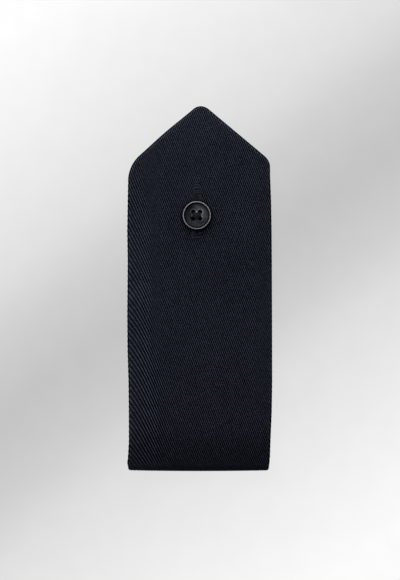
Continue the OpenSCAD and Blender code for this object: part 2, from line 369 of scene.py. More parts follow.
@dataclass(frozen=True)
class StrapForm:
    """The strap's form in real sizes: the outline of its face, its middle line and its edges."""

    foot_y: float
    face_length: float = 146 * MM
    face_width: float = 58 * MM
    cloth: float = 1.8 * MM
    point_x: float = 0.5 * MM
    point_trim: float = 1.45 * MM
    drops: Pair = (23.7 * MM, 21.9 * MM)
    shoulder_radii: Pair = (14 * MM, 6 * MM)
    left_bow: float = 0.45 * MM
    # How far the rib ends stand proud of each side edge, on every other row
    edge_bumps: Pair = (0.14 * MM, 0.07 * MM)
    falls: Pair = (0.8 * MM, 0.3 * MM)
    fall_widths: Pair = (12 * MM, 5 * MM)
    fold_r: float = 2.7 * MM
    belly_slope: float = math.radians(13)
    belly_r: float = 80 * MM
    fall_slope: float = math.radians(4.5)
    level_r: float = 120 * MM
    button_gap: float = 1.2 * MM
    droop_start: float = 117 * MM
    droop: float = 2.3 * MM
    under_length: float = 117 * MM
    foot_bow: float = 0.4 * MM
    bow_length: float = 10 * MM
    under_inset: float = 1.2 * MM
    narrow_length: float = 12 * MM
    under_corner_r: float = 4 * MM
    tip_zone: float = 4 * MM
    # Angles between the rows in the tip and at the under strap's end
    tip_turn: float = math.radians(5)
    end_turn: float = math.radians(6)
    # Spacing of the rows down the face and along the under strap, and number of steps round the fold
    row_step: float = 1.0 * MM
    under_step: float = 1.5 * MM
    fold_steps: int = 18
    # Columns in millimetres: height above the fold, how far the left and the right side are short of
    # the widest
    side_rows: Table = (
        (0, 0.6, 1.4),
        (3, 0.1, 1.1),
        (6, 0.4, 0.85),
        (12, 0.75, 0.7),
        (24, 0.75, 0.2),
        (36, 0.6, 0),
        (48, 0.2, 0),
        (62, 0.05, 0),
        (84, 0.2, 0.05),
        (96, 0, 0.15),
        (108, 0.2, 0.35),
        (118, 0.4, 0.75),
    )

    @property
    def edge_r(self) -> float:
        """Radius of the cloth's rolled edge."""
        return self.cloth / 2

    @property
    def fold_height(self) -> float:
        """Height of the fold's centre above the fold's own outer edge."""
        return self.edge_r + self.fold_r

    @property
    def apex(self) -> float:
        """Height where the two slanting edges would meet in a sharp point."""
        return self.face_length + self.point_trim

    @property
    def level_z(self) -> float:
        """Height of the face's middle line at the button."""
        return 1.5 * self.cloth + self.button_gap

    @property
    def face_top(self) -> float:
        """Height of the face's upper side at the button."""
        return self.level_z + self.edge_r

    def half_width(self, height: Array | float, side: Side) -> Array:
        """Half width of the straight part of the face: the widest half less the table's shortfall.

        Args:
            height: Height above the fold.
            side: Which side.

        Returns:
            The half width at each height.
        """
        table = np.array(self.side_rows) * MM
        return self.face_width / 2 - np.interp(height, table[:, 0], table[:, 1 + side.index])

    def corner(self, side: Side) -> Corner:
        """Works out one side of the point from its drop and radii.

        The slanting edge runs from the sharp point to the shoulder's sharp corner, and each rounding is
        the circle that touches both of its lines.

        Args:
            side: Which side.

        Returns:
            The corner's measures.
        """
        shoulder = self.face_length - self.drops[side.index]
        half = float(self.half_width(shoulder, side))
        slant = math.atan2(self.apex - shoulder, half - side.value * self.point_x)
        radius = self.shoulder_radii[side.index]
        start = shoulder - radius * math.tan((QUARTER - slant) / 2)
        end = start + radius * math.cos(slant)
        tip_radius = self.point_trim / (1 / math.cos(slant) - 1)
        tip_start = self.face_length - tip_radius * (1 - math.cos(slant))
        return Corner(half, slant, radius, start, end, tip_radius, tip_start)

    def face_edge(self, height: Array, side: Side) -> tuple[Array, Array]:
        """Distance of the face's edge from the middle, and the cosine of its slant, at each height.

        Args:
            height: Heights above the fold.
            side: Which side.

        Returns:
            The distances and the cosines.
        """
        corner = self.corner(side)
        at_point = side.value * self.point_x
        round_share = np.clip((height - corner.start) / corner.radius, 0, 1)
        round_cos = np.sqrt(1 - round_share**2)
        tip_share = np.clip((height - self.face_length + corner.tip_radius) / corner.tip_radius, 0, 1)
        tip_cos = np.sqrt(1 - tip_share**2)
        along = np.clip((height - corner.end) / (corner.tip_start - corner.end), 0, 1)
        bow = self.left_bow * np.sin(math.pi * along) ** 2 if side is Side.LEFT else 0 * along
        cases = [height <= corner.start, height <= corner.end, height <= corner.tip_start]
        reach = np.select(
            cases,
            [
                self.half_width(height, side),
                corner.half - corner.radius * (1 - round_cos),
                at_point + (self.apex - height) / math.tan(corner.slant) + bow,
            ],
            at_point + corner.tip_radius * tip_cos,
        )
        slanting_cos = math.sin(corner.slant) + 0 * height
        cosine = np.select(cases, [1 + 0 * height, round_cos, slanting_cos], tip_cos)
        return reach, cosine

    def under_edge(self, height: Array, side: Side) -> tuple[Array, Array]:
        """The same for the under strap, which narrows away from the fold and has round corners.

        Args:
            height: Heights above the fold.
            side: Which side.

        Returns:
            The distances and the cosines.
        """
        inset = self.under_inset * np.clip(height / self.narrow_length, 0, 1)
        radius = self.under_corner_r
        share = np.clip((height - self.under_length + radius) / radius, 0, 1)
        cosine = np.sqrt(1 - share**2)
        return self.half_width(height, side) - inset - radius * (1 - cosine), cosine

    def middle_line(self, height: Array) -> tuple[Array, Array]:
        """Height and slope of the face's middle line: belly, slope, level part and droop.

        The belly, the levelling and the droop are arcs. On an arc of radius r about its top, the slope
        is minus the arc sine of the distance over r, and the line falls by r (1 - cos slope).

        Args:
            height: Heights above the fold.

        Returns:
            The line's Z and its slope.
        """

        def arc(top: float, top_z: float, radius: float) -> tuple[Array, Array]:
            """The line and slope of one arc, as worded above."""
            slope = -np.arcsin(np.clip((height - top) / radius, -1, 1))
            return top_z - radius * (1 - np.cos(slope)), slope

        belly_rise = self.fold_r * (1 + math.cos(self.belly_slope)) + self.edge_r
        belly_z = belly_rise + self.belly_r * (1 - math.cos(self.belly_slope))
        belly_v = self.belly_start + self.belly_r * math.sin(self.belly_slope)
        slope_v = belly_v + self.belly_r * math.sin(self.fall_slope)
        slope_z = belly_z - self.belly_r * (1 - math.cos(self.fall_slope))
        slope_end_z = self.level_z + self.level_r * (1 - math.cos(self.fall_slope))
        slope_end_v = slope_v + (slope_z - slope_end_z) / math.tan(self.fall_slope)
        level_v = slope_end_v + self.level_r * math.sin(self.fall_slope)
        droop_run = self.face_length - self.droop_start
        droop_r = (droop_run**2 + self.droop**2) / (2 * self.droop)
        belly = arc(belly_v, belly_z, self.belly_r)
        levelling = arc(level_v, self.level_z, -self.level_r)
        drooping = arc(self.droop_start, self.level_z, droop_r)
        straight_z = slope_z - (height - slope_v) * math.tan(self.fall_slope)
        straight = (straight_z, 0 * height - self.fall_slope)
        cases = [height <= slope_v, height <= slope_end_v, height <= level_v, height <= self.droop_start]
        level = (0 * height + self.level_z, 0 * height)
        found = [belly, straight, levelling, level]
        z = np.select(cases, [f[0] for f in found], drooping[0])
        slope = np.select(cases, [f[1] for f in found], drooping[1])
        return z, slope

    @property
    def belly_start(self) -> float:
        """Height above the fold where the face leaves the fold's arc."""
        return self.fold_height - self.fold_r * math.sin(self.belly_slope)

    def rows(self) -> Rows:
        """Lays out the cross-sections, close together at the point, in the fold and at the under end.

        Down the sides of the face every other row stands back a little, so that the edge is serrated.

        Returns:
            The rows.
        """

        def quarter(turn: float) -> Array:
            """Angles from level to upright, a turn apart."""
            return np.linspace(0, QUARTER, round(QUARTER / turn) + 1)

        tip = self.face_length - self.tip_zone * (1 - np.cos(quarter(self.tip_turn)))
        step, under_step = self.row_step, self.under_step
        face = np.concatenate([tip, np.arange(tip[-1] - step, self.belly_start + step / 2, -step)])
        turn = np.linspace(self.belly_slope, math.pi, self.fold_steps + 1)
        end = self.under_length - self.under_corner_r * (1 - np.sin(quarter(self.end_turn)))
        back = np.arange(self.fold_height + under_step, end[0] - under_step / 2, under_step)
        under = np.concatenate([back, end])
        counts = [len(face), len(turn), len(under)]
        part = np.repeat([Part.FACE.value, Part.FOLD.value, Part.UNDER.value], counts)
        height = np.concatenate([face, self.fold_height - self.fold_r * np.sin(turn), under])
        face_z, face_slope = self.middle_line(face)
        fold_z = self.edge_r + self.fold_r * (1 + np.cos(turn))
        z = np.concatenate([face_z, fold_z, 0 * under + self.edge_r])
        heading = np.concatenate([face_slope, turn, 0 * under + math.pi])
        on_face, on_under = part == Part.FACE.value, part == Part.UNDER.value
        share = np.select([on_face, on_under], [0, 1], heading / math.pi)
        reach, cosine = [], []
        every_other = on_face * (np.arange(len(height)) % 2)
        for side, bump in zip(Side, self.edge_bumps):
            face_reach, face_cos = self.face_edge(height, side)
            face_reach = face_reach - bump * every_other * (height < self.corner(side).start)
            under_reach, under_cos = self.under_edge(height, side)
            reach.append(face_reach * (1 - share) + under_reach * share)
            cosine.append(np.where(on_face, face_cos, under_cos))
        y = self.foot_y + height
        outer_y, outer_z = y - np.sin(heading) * self.edge_r, z + np.cos(heading) * self.edge_r
        travelled = np.concatenate([[0], np.cumsum(np.hypot(np.diff(outer_y), np.diff(outer_z)))])
        return Rows(part, height, y, z, heading, np.array(reach), np.array(cosine), y[0] - travelled)

    def depth(self, rows: Rows, x: Array) -> Array:
        """Distance of each point of the rows from the cloth's outline.

        Near a straight or slanting edge it is the distance across the row times the cosine of the
        slant, in the tip's rounding it is measured from its circle, and the under end counts as well.

        Args:
            rows: The cross-sections.
            x: Places across, by row and column.

        Returns:
            The distances, in the same layout.
        """
        height = rows.height[:, None]
        found = []
        for side in Side:
            corner = self.corner(side)
            reach, cosine = rows.reach[side.index][:, None], rows.cosine[side.index][:, None]
            beside = (reach - side.value * x) * cosine
            radial = np.hypot(x - self.point_x, height - self.face_length + corner.tip_radius)
            in_tip = rows.on(Part.FACE) & (height > corner.tip_start)
            found.append(np.where(in_tip, corner.tip_radius - radial, beside))
        to_end = np.where(rows.on(Part.UNDER), self.under_length - height, 1)
        return np.maximum(np.minimum(np.minimum(*found), to_end), 0)

    def roll(self, depth: Array) -> Array:
        """How far the rolled edge has turned towards the flat: the sine of its angle at each depth."""
        return np.sqrt(1 - (1 - np.clip(depth / self.edge_r, 0, 1)) ** 2)

    def place(self, rows: Rows, x: Array, lift: Array) -> Array:
        """Puts points on the folded strap.

        A point lies beside its row's middle line, lifted along the row's outward direction. The face
        falls away towards its sides with the square of the distance, and the foot's sides stand back.

        Args:
            rows: The cross-sections.
            x: Places across, by row and column.
            lift: Distances from the middle of the cloth, outwards.

        Returns:
            Points by row and column.
        """
        half = self.face_width / 2
        fall = 0 * x
        for side, depth, width in zip(Side, self.falls, self.fall_widths):
            fall = fall + depth * np.clip(1 - (half - side.value * x) / width, 0, 1) ** 2
        heading = rows.heading[:, None]
        raised = lift - np.maximum(0, np.cos(heading)) * fall
        rise = np.clip(1 - rows.height[:, None] / self.bow_length, 0, 1) ** 2
        back = self.foot_bow * (x / half) ** 2 * rise
        y = rows.y[:, None] - np.sin(heading) * raised + back
        z = rows.z[:, None] + np.cos(heading) * raised
        return np.stack([x, y, z], -1)


@dataclass(frozen=True)
class Twill:
    """The cloth's diagonal ribs, as a phase that grows by one from rib to rib.

    Well inside the strap the phase is across * u + along * s, for u across the cloth and s along it.
    In a band beside the left edge, where the cloth is pressed over, half of spread (band - d) squared is
    added, for d the distance from the edge, so that the ribs there stand wider and lean further.
    """

    across: float = 1.212 / MM
    along: float = 0.45 / MM
    relief: float = 0.12 * MM
    crest_power: float = 0.8
    # Columns in millimetres: place along the strap, width of the band, spread in ribs for each square
    band_rows: Table = (
        (-64, 19.6, 0.038),
        (-50, 17.5, 0.043),
        (-36, 15.2, 0.052),
        (-22, 13.2, 0.064),
        (-4, 12.0, 0.070),
        (14, 10.8, 0.066),
        (30, 9.4, 0.056),
        (44, 7.9, 0.040),
        (60, 4.5, 0.040),
    )
    # Phases at which a rib is sampled: its valley, its two flanks and its two shoulders
    samples: tuple[float, ...] = (0, 0.14, 0.37, 0.63, 0.86)

    def band(self, s: Array) -> tuple[Array, Array]:
        """Width of the band of wider ribs and its spread at each place along the cloth."""
        place, width, spread = np.array(self.band_rows).T
        return np.interp(s, place * MM, width * MM), np.interp(s, place * MM, spread / MM**2)

    def phase(self, u: Array, s: Array, edge: float) -> Array:
        """The phase, as worded above.

        Args:
            u: Places across the unrolled cloth.
            s: Places along it.
            edge: Where the left edge lies across the cloth.

        Returns:
            The phase at each place.
        """
        width, spread = self.band(s)
        inner = np.maximum(0, width - (u - edge))
        return self.across * u + self.along * s + spread / 2 * inner**2

    def place(self, phase: Array, s: Array, edge: float) -> Array:
        """Finds where a phase lies across the cloth, from the square equation that phase() makes.

        Args:
            phase: The phases wanted.
            s: Places along the cloth.
            edge: Where the left edge lies across the cloth.

        Returns:
            The places across.
        """
        width, spread = self.band(s)
        border = edge + width
        lack = self.across * border + self.along * s - phase
        root = np.sqrt(np.maximum(0, self.across**2 - 2 * spread * np.maximum(0, lack)))
        inner = np.where(lack > 0, (self.across - root) / spread, lack / self.across)
        return border - inner

    def height(self, phase: Array) -> Array:
        """Height of the ribs below their crests: a power of the sine of half a turn across each rib."""
        return -self.relief * (1 - np.abs(np.sin(math.pi * phase)) ** self.crest_power)


@dataclass(frozen=True)
class Undulation:
    """The slow unevenness of pressed cloth: a sum of sine waves with seeded headings and phases."""

    height: float = 0.05 * MM
    shortest: float = 14 * MM
    longest: float = 70 * MM
    waves: int = 7
    seed: int = 4

    def at(self, x: Array, s: Array) -> Array:
        """Height of the unevenness. A wave's height falls with the square root of its length.

        Args:
            x: Places across.
            s: Places along the cloth.

        Returns:
            The height at each place.
        """
        random = np.random.default_rng(self.seed)
        total = 0 * x * s
        for size in np.geomspace(self.longest, self.shortest, self.waves):
            heading, phase = random.uniform(0, 2 * math.pi, 2)
            distance = x * math.cos(heading) + s * math.sin(heading)
            wave = np.sin(2 * math.pi * distance / size + phase)
            total = total + self.height * wave * math.sqrt(size / self.longest)
        return total


class Graph:
    """Adds nodes to one node tree. An input given as a socket is linked, and any other is set."""

    def __init__(self, tree: NodeTree) -> None:
        """Starts on a node tree."""
        self.tree = tree

    def feed(self, target: bpy.types.Node, inputs: Mapping[str | int, Value]) -> None:
        """Links or sets a node's inputs.

        Args:
            target: The node.
            inputs: Values or sockets by input name or number.
        """
        for key, value in inputs.items():
            if isinstance(value, Socket):
                self.tree.links.new(value, target.inputs[key])
            else:
                target.inputs[key].default_value = value

    def node(
        self, kind: str, inputs: Mapping[str | int, Value] | None = None, **settings: object
    ) -> bpy.types.Node:
        """Adds a node.

        Args:
            kind: The node's type name without its ShaderNode prefix.
            inputs: Values or sockets by input name or number.
            **settings: The node's own properties, which are set before its inputs.

        Returns:
            The node.
        """
        made = self.tree.nodes.new("ShaderNode" + kind)
        for key, value in settings.items():
            setattr(made, key, value)
        self.feed(made, inputs or {})
        return made

    def math(self, operation: str, a: Value, b: Value = 0.0, c: Value = 0.0) -> Socket:
        """The result of a Math node on up to three values."""
        return self.node("Math", {0: a, 1: b, 2: c}, operation=operation).outputs[0]

    def chain(self, operation: str, values: Iterable[Value]) -> Socket:
        """An operation carried through several values, as for their product or their maximum."""
        return reduce(lambda done, value: self.math(operation, done, value), values)

    def product(self, *values: Value) -> Socket:
        """The product of several values."""
        return self.chain("MULTIPLY", values)

    def scaled(self, value: Value, by: Value, plus: Value) -> Socket:
        """A value times another, plus a third."""
        return self.math("MULTIPLY_ADD", value, by, plus)

    def about(self, value: Value, middle: float, swing: float) -> Socket:
        """A value between 0 and 1 spread evenly about a middle, swing from lowest to highest."""
        return self.scaled(value, swing, middle - swing / 2)

    def length(self, x: Value, y: Value) -> Socket:
        """The length of a flat vector."""
        return self.math("SQRT", self.scaled(x, x, self.product(y, y)))

    def away(self, x: Value, y: Value, from_x: Value, from_y: Value) -> Socket:
        """The distance in plan of a place from a point."""
        return self.length(self.math("SUBTRACT", x, from_x), self.math("SUBTRACT", y, from_y))

    def bell(self, value: Value, middle: float, width: float) -> Socket:
        """A bell curve: e to minus the square of the distance from its middle over its width."""
        off = self.math("DIVIDE", self.math("SUBTRACT", value, middle), width)
        return self.math("EXPONENT", self.product(off, off, -1.0))

    def mix(self, share: Value, a: Value, b: Value, blend: str = "MIX") -> Socket:
        """One colour mixed with another by a share."""
        inputs = {0: share, 6: a, 7: b}
        return self.node("Mix", inputs, data_type="RGBA", blend_type=blend).outputs[2]

    def tinted(self, tint: Value, level: Socket) -> Socket:
        """A colour times a level."""
        grey = self.node("CombineXYZ", {0: level, 1: level, 2: level}).outputs[0]
        return self.mix(1.0, tint, grey, "MULTIPLY")

    def remap(
        self, value: Value, low: Value, high: Value, to: tuple[Value, Value] = (0.0, 1.0)
    ) -> Socket:
        """A value taken smoothly from one range to another, and held at its ends."""
        inputs = {0: value, 1: low, 2: high, 3: to[0], 4: to[1]}
        return self.node("MapRange", inputs, interpolation_type="SMOOTHSTEP").outputs[0]

    def noise(self, vector: Socket, scale: Value, detail: float = 2.0) -> Socket:
        """The value of a Noise texture."""
        return self.node("TexNoise", {"Vector": vector, "Scale": scale, "Detail": detail}).outputs[0]

    def place(self) -> Socket:
        """The Object coordinates."""
        return self.node("TexCoord").outputs["Object"]

    def split(self, vector: Socket) -> Outputs:
        """The three parts of a vector."""
        return self.node("SeparateXYZ", {0: vector}).outputs

    def uv(self, name: str) -> Outputs:
        """The parts of a UV map's pairs; the third is zero."""
        return self.split(self.node("UVMap", uv_map=name).outputs[0])

    def bump(self, height: Socket, distance: float, strength: float = 1.0) -> Socket:
        """A normal that follows a height."""
        inputs = {"Strength": strength, "Distance": distance, "Height": height}
        return self.node("Bump", inputs).outputs[0]

    def effect(self, group: NodeTree, inputs: Mapping[str, Value] | None = None) -> Outputs:
        """The outputs of a node that stands for an effect's group."""
        return self.node("Group", inputs, node_tree=group).outputs


class Effect(Graph):
    """The node group of an effect that materials share, with named sockets for single values."""

    def __init__(self, name: str, inputs: Mapping[str, float], outputs: Sequence[str]) -> None:
        """Makes the group and its sockets.

        Args:
            name: The group's name.
            inputs: Starting value of each input by name.
            outputs: Names of the outputs.
        """
        tree = bpy.data.node_groups.new(name, "ShaderNodeTree")
        super().__init__(tree)
        for key, value in inputs.items():
            socket = tree.interface.new_socket(key, in_out="INPUT", socket_type="NodeSocketFloat")
            socket.default_value = value
        for key in outputs:
            tree.interface.new_socket(key, in_out="OUTPUT", socket_type="NodeSocketFloat")
        self.given = tree.nodes.new("NodeGroupInput").outputs
        self.sink = tree.nodes.new("NodeGroupOutput")

    def closed(self, results: Mapping[str, Socket]) -> NodeTree:
        """Links the results to the group's outputs and returns the group."""
        self.feed(self.sink, results)
        return self.tree


def fibre_effect() -> NodeTree:
    """Fibre and wear that every cloth and thread shares, on Object coordinates.

    Tone is a slow unevenness of colour with a fine mottle in it, and Fibre is the height of short hairs.

    Returns:
        The node group.
    """
    effect = Effect("fibre", {"Patch size": 9.0, "Fibre size": 0.12}, ["Tone", "Fibre"])
    place = effect.place()
    mottle_share, mottle_fineness = 0.45, 9.0

    def grains(size: str, fineness: float = 1.0) -> Socket:
        """A noise whose grains have an input's size in millimetres, or are finer by a factor."""
        return effect.noise(place, effect.math("DIVIDE", fineness / MM, effect.given[size]))

    patch = effect.product(grains("Patch size"), 1 - mottle_share)
    tone = effect.scaled(grains("Patch size", mottle_fineness), mottle_share, patch)
    return effect.closed({"Tone": tone, "Fibre": grains("Fibre size")})


def yarn_effect() -> NodeTree:
    """The yarns in the ribs of a twill, from a rib count and a place along the ribs.

    Each rib is a row of short floats that lean across it and step from rib to rib. Crest is 1 on a rib's
    crest and 0 between two ribs, Float is the height of a float, and Tone is a random value for each.

    Returns:
        The node group.
    """
    inputs = {"Rib": 0.0, "Along": 0.0, "Float length": 0.62, "Lean": 0.8, "Step": 0.37}
    effect = Effect("yarn", inputs, ["Crest", "Float", "Tone"])
    given = effect.given
    number = effect.math("FLOOR", given["Rib"])
    inside = effect.math("SUBTRACT", given["Rib"], number)
    crest = effect.math("SINE", effect.product(inside, math.pi))
    length = effect.math("DIVIDE", given["Along"], given["Float length"])
    leaning = effect.scaled(inside, given["Lean"], length)
    stepped = effect.scaled(number, given["Step"], leaning)
    centred = effect.scaled(effect.math("FRACT", stepped), 2.0, -1.0)
    floating = effect.math("SUBTRACT", 1.0, effect.product(centred, centred))
    cell = effect.node("CombineXYZ", {0: number, 1: effect.math("FLOOR", stepped)}).outputs[0]
    tone = effect.node("TexWhiteNoise", {"Vector": cell}, noise_dimensions="2D").outputs[0]
    return effect.closed({"Crest": crest, "Float": floating, "Tone": tone})


def button_shade_effect() -> NodeTree:
    """Painted shade: the dark ring of close shadow under a button's rim, on what lies under it.

    Level is 1 away from the ring. Under the rim it is Depth, and it rises smoothly between two
    distances from the button's axis.

    Returns:
        The node group.
    """
    inputs = {"Axis X": 0.0, "Axis Y": 0.0, "Near": 6.1 * MM, "Far": 6.7 * MM, "Depth": 0.4}
    effect = Effect("button_shade", inputs, ["Level"])
    x, y, _ = effect.split(effect.place())
    axis_x, axis_y, near, far, depth = (effect.given[key] for key in inputs)
    level = effect.remap(effect.away(x, y, axis_x, axis_y), near, far, (depth, 1.0))
    return effect.closed({"Level": level})


@dataclass(frozen=True)
class Effects:
    """The node groups that materials share."""

    fibre: NodeTree
    yarn: NodeTree
    button_shade: NodeTree

    def button_shaded(self, graph: Graph, axis: Pair) -> Socket:
        """Level of the painted shade under a button's rim, round its axis given by its X and Y."""
        return graph.effect(self.button_shade, {"Axis X": axis[0], "Axis Y": axis[1]})[0]


class Surface(Graph):
    """A new material, as an empty graph round its Principled BSDF."""

    def __init__(self, name: str) -> None:
        """Makes the material.

        Args:
            name: The material's name.
        """
        self.material = bpy.data.materials.new(name)
        self.material.use_nodes = True
        super().__init__(self.material.node_tree)

    def finished(self, looks: Mapping[str, Value]) -> Material:
        """Links or sets the shader's own inputs and returns the material."""
        self.feed(self.tree.nodes["Principled BSDF"], looks)
        return self.material


def colour(red: float, green: float, blue: float) -> Colour:
    """An opaque colour from linear shares."""
    return red, green, blue, 1.0


@dataclass(frozen=True)
class Ramp:
    """A smooth change of level between two places on the strap.

    Attributes:
        way: The way it runs.
        start: Place where it starts, in millimetres.
        end: Place where it ends, in millimetres.
        before: Level up to the start.
        after: Level beyond the end.
        shift: A ramp of lengths in metres, added to the place first, so that the change runs aslant.
    """

    way: Way
    start: float
    end: float
    before: float = 0.0
    after: float = 1.0
    shift: Ramp | None = None

    def at(self, graph: Graph, place: Outputs) -> Socket:
        """The level at a place.

        Args:
            graph: The material's graph.
            place: The parts of the place.

        Returns:
            The level.
        """
        value = place[self.way.value]
        if self.shift:
            value = graph.math("ADD", value, self.shift.at(graph, place))
        return graph.remap(value, self.start * MM, self.end * MM, (self.before, self.after))


def region(graph: Graph, place: Outputs, ramps: Sequence[Ramp]) -> Socket:
    """The product of several ramps, which bound a region of the strap."""
    return graph.product(*(ramp.at(graph, place) for ramp in ramps))


@dataclass(frozen=True)
class TwillFinish:
    """Dark navy wool twill: near-black valleys, partly darker weft and partly painted shade, floats of
    slightly different dye with painted shade between them, a soft nap.

    Attributes:
        button_place: X and Y of the button's axis, round which shade under its rim is painted.
    """

    button_place: Pair
    crest: Colour = colour(0.0309, 0.0355, 0.0484)
    # The valleys' colour: partly the weft's darker dye, partly painted shade between the ribs
    valley_dye_and_shade: Colour = colour(0.0, 0.0003, 0.0016)
    crest_power: float = 6.8
    # How far the tones of single floats and of slow patches spread, and the levels over a float: painted
    # shade between floats and painted light on their tops
    float_swing: float = 0.5
    patch_swing: float = 0.6
    float_light_levels: Pair = (0.7, 1.1)
    roughness: float = 0.85
    roughness_swing: float = 0.2
    gloss: float = 0.005
    sheen: float = 0.06
    sheen_roughness: float = 0.4
    sheen_tint: Colour = colour(0.5, 0.6, 0.85)
    bump: float = 0.035 * MM
    float_relief: float = 0.7
    fibre_relief: float = 0.6
    # Millimetres from the outline: where the painted shade at the edge ends, and the painted highlight on
    # the ridge beside it
    edge_shade_reach: Pair = (0.4, 0.64)
    highlight_place: float = 0.86
    highlight_width: float = 0.24
    highlight_gain: float = 1.15
    side_highlight_share: float = 0.45
    # How far calm cloth loses its ribs' contrast, and the share of a crest's colour that is left there
    calm: float = 0.70
    calm_crest: float = 0.27
    # The calm regions: the fold, a strip beside the left band that fades downwards and widens upwards,
    # the right edge, the left edge and the point
    calm_regions: tuple[tuple[Ramp, ...], ...] = (
        (Ramp(Way.ALONG, -71, -67, 1.0, 0.0),),
        (
            Ramp(Way.ACROSS, -19.5, -18.5, shift=Ramp(Way.ALONG, 15, 50, 0.0, 3.6 * MM)),
            Ramp(Way.ACROSS, -16.3, -15.3, 1.0, 0.0),
            Ramp(Way.ALONG, -34, -2),
        ),
        (
            Ramp(Way.ACROSS, 21, 24.5),
            Ramp(Way.ALONG, -64, -39),
            Ramp(Way.ALONG, -5, 20, 0.73, 0.44),
        ),
        (Ramp(Way.ACROSS, -26.5, -19.5, 1.0, 0.0), Ramp(Way.ALONG, 10, 36, 0.55, 0.3)),
        (Ramp(Way.ALONG, 24, 46, 0.0, 0.26),),
    )
    # How much sharper the ribs are in the upper right, and that region
    sharp: float = 0.2
    sharp_region: tuple[Ramp, ...] = (
        Ramp(Way.ACROSS, -2, 18),
        Ramp(Way.ACROSS, 19, 24, 1.0, 0.2),
        Ramp(Way.ALONG, 2, 24),
        Ramp(Way.ALONG, 52, 60, 1.0, 0.0),
    )
    # Painted light: how much paler the wide ribs at the left are, in a band that widens below and ends
    # above
    band_light_gain: float = 0.23
    band_region: tuple[Ramp, ...] = (
        Ramp(Way.ACROSS, -20.9, -18.6, 1.0, 0.0, shift=Ramp(Way.ALONG, -52, -36, -3 * MM, 0.0)),
        Ramp(Way.ALONG, 18, 38, 1.0, 0.0),
    )
    # Painted shade at the fold, where the cloth turns away, and painted light at the tip
    end_light_levels: tuple[Ramp, ...] = (
        Ramp(Way.ALONG, -65.5, -54, 0.74, 1.0),
        Ramp(Way.ALONG, 56, 70, 1.0, 1.16),
    )
    # Broad patches of painted shade, the third being the button's soft shadow to its lower left: place
    # across and along, size, level; and the share of the size that is darkest
    shade_patches: Table = (
        (13 * MM, 4 * MM, 22 * MM, 0.90),
        (6 * MM, -38 * MM, 20 * MM, 0.95),
        (-5 * MM, 25 * MM, 13 * MM, 0.80),
    )
    shade_core: float = 0.2

    def edge_light_level(self, graph: Graph) -> Socket:
        """Level of the colour by distance from the outline, with painted shade and a painted highlight.

        It rises smoothly from the edge, where shade is painted, and a bell curve adds a painted highlight
        on the ridge beside it, which is full along the two slanting edges and weaker down the sides.

        Args:
            graph: The material's graph.

        Returns:
            The level.
        """
        depth, slanting, _ = graph.uv("outline")
        shaded = graph.remap(depth, *self.edge_shade_reach)
        share = graph.scaled(slanting, 1 - self.side_highlight_share, self.side_highlight_share)
        bell = graph.bell(depth, self.highlight_place, self.highlight_width)
        edge_highlight = graph.product(bell, share, self.highlight_gain)
        return graph.product(shaded, graph.math("ADD", edge_highlight, 1.0))

    def painted_light_level(self, graph: Graph, place: Outputs) -> Socket:
        """Painted light and shade by place: paler where the ribs are wide and at the tip, darker at the
        fold and in broad patches.

        Args:
            graph: The material's graph.
            place: The parts of the place.

        Returns:
            The level.
        """
        wide = region(graph, place, self.band_region)
        level = graph.scaled(wide, self.band_light_gain, 1.0)
        level = graph.product(level, region(graph, place, self.end_light_levels))
        for across, along, size, least in self.shade_patches:
            away = graph.away(place[0], place[1], across, along)
            patch_shade = graph.remap(away, self.shade_core * size, size, (least, 1.0))
            level = graph.product(level, patch_shade)
        return level

    def contrast(self, graph: Graph, place: Outputs) -> Socket:
        """Contrast of the ribs by place, as a share.

        They are pressed out beside the left band and at the fold, weaker at both edges and in the
        point, and sharper in the upper right.

        Args:
            graph: The material's graph.
            place: The parts of the place.

        Returns:
            The share of the ribs' full contrast.
        """
        calm = graph.chain("MAXIMUM", (region(graph, place, ramps) for ramps in self.calm_regions))
        sharp = graph.product(region(graph, place, self.sharp_region), self.sharp)
        return graph.math("ADD", graph.scaled(calm, -self.calm, 1.0), sharp)

    def material(self, effects: Effects) -> Material:
        """Builds the material on the UV map that holds rib count and place along the ribs.

        Args:
            effects: The shared node groups.

        Returns:
            The material.
        """
        graph = Surface("navy_twill")
        rib, along, _ = graph.uv("twill")
        place = graph.split(graph.place())
        yarn = graph.effect(effects.yarn, {"Rib": rib, "Along": along})
        fibre = graph.effect(effects.fibre)
        low, high = self.float_light_levels
        level = graph.product(
            graph.about(yarn["Tone"], 1.0, self.float_swing),
            graph.about(fibre["Tone"], 1.0, self.patch_swing),
            # Painted shade between floats and painted light on their tops
            graph.scaled(yarn["Float"], high - low, low),
            # Painted shade under the button's rim
            effects.button_shaded(graph, self.button_place),
            # Painted shade at the edge and a painted highlight beside it
            self.edge_light_level(graph),
            # Painted light and shade by place
            self.painted_light_level(graph, place),
        )
        ribbed = graph.math("POWER", yarn["Crest"], self.crest_power)
        apart = graph.math("SUBTRACT", ribbed, self.calm_crest)
        shown = graph.scaled(apart, self.contrast(graph, place), self.calm_crest)
        fibres = graph.product(fibre["Fibre"], self.fibre_relief)
        height = graph.scaled(yarn["Float"], self.float_relief, fibres)
        looks = {
            "Base Color": graph.mix(shown, self.valley_dye_and_shade, graph.tinted(self.crest, level)),
            "Roughness": graph.about(fibre["Fibre"], self.roughness, self.roughness_swing),
            "Normal": graph.bump(height, self.bump),
            "Specular IOR Level": self.gloss,
            "Sheen Weight": self.sheen,
            "Sheen Roughness": self.sheen_roughness,
            "Sheen Tint": self.sheen_tint,
        }
        return graph.finished(looks)


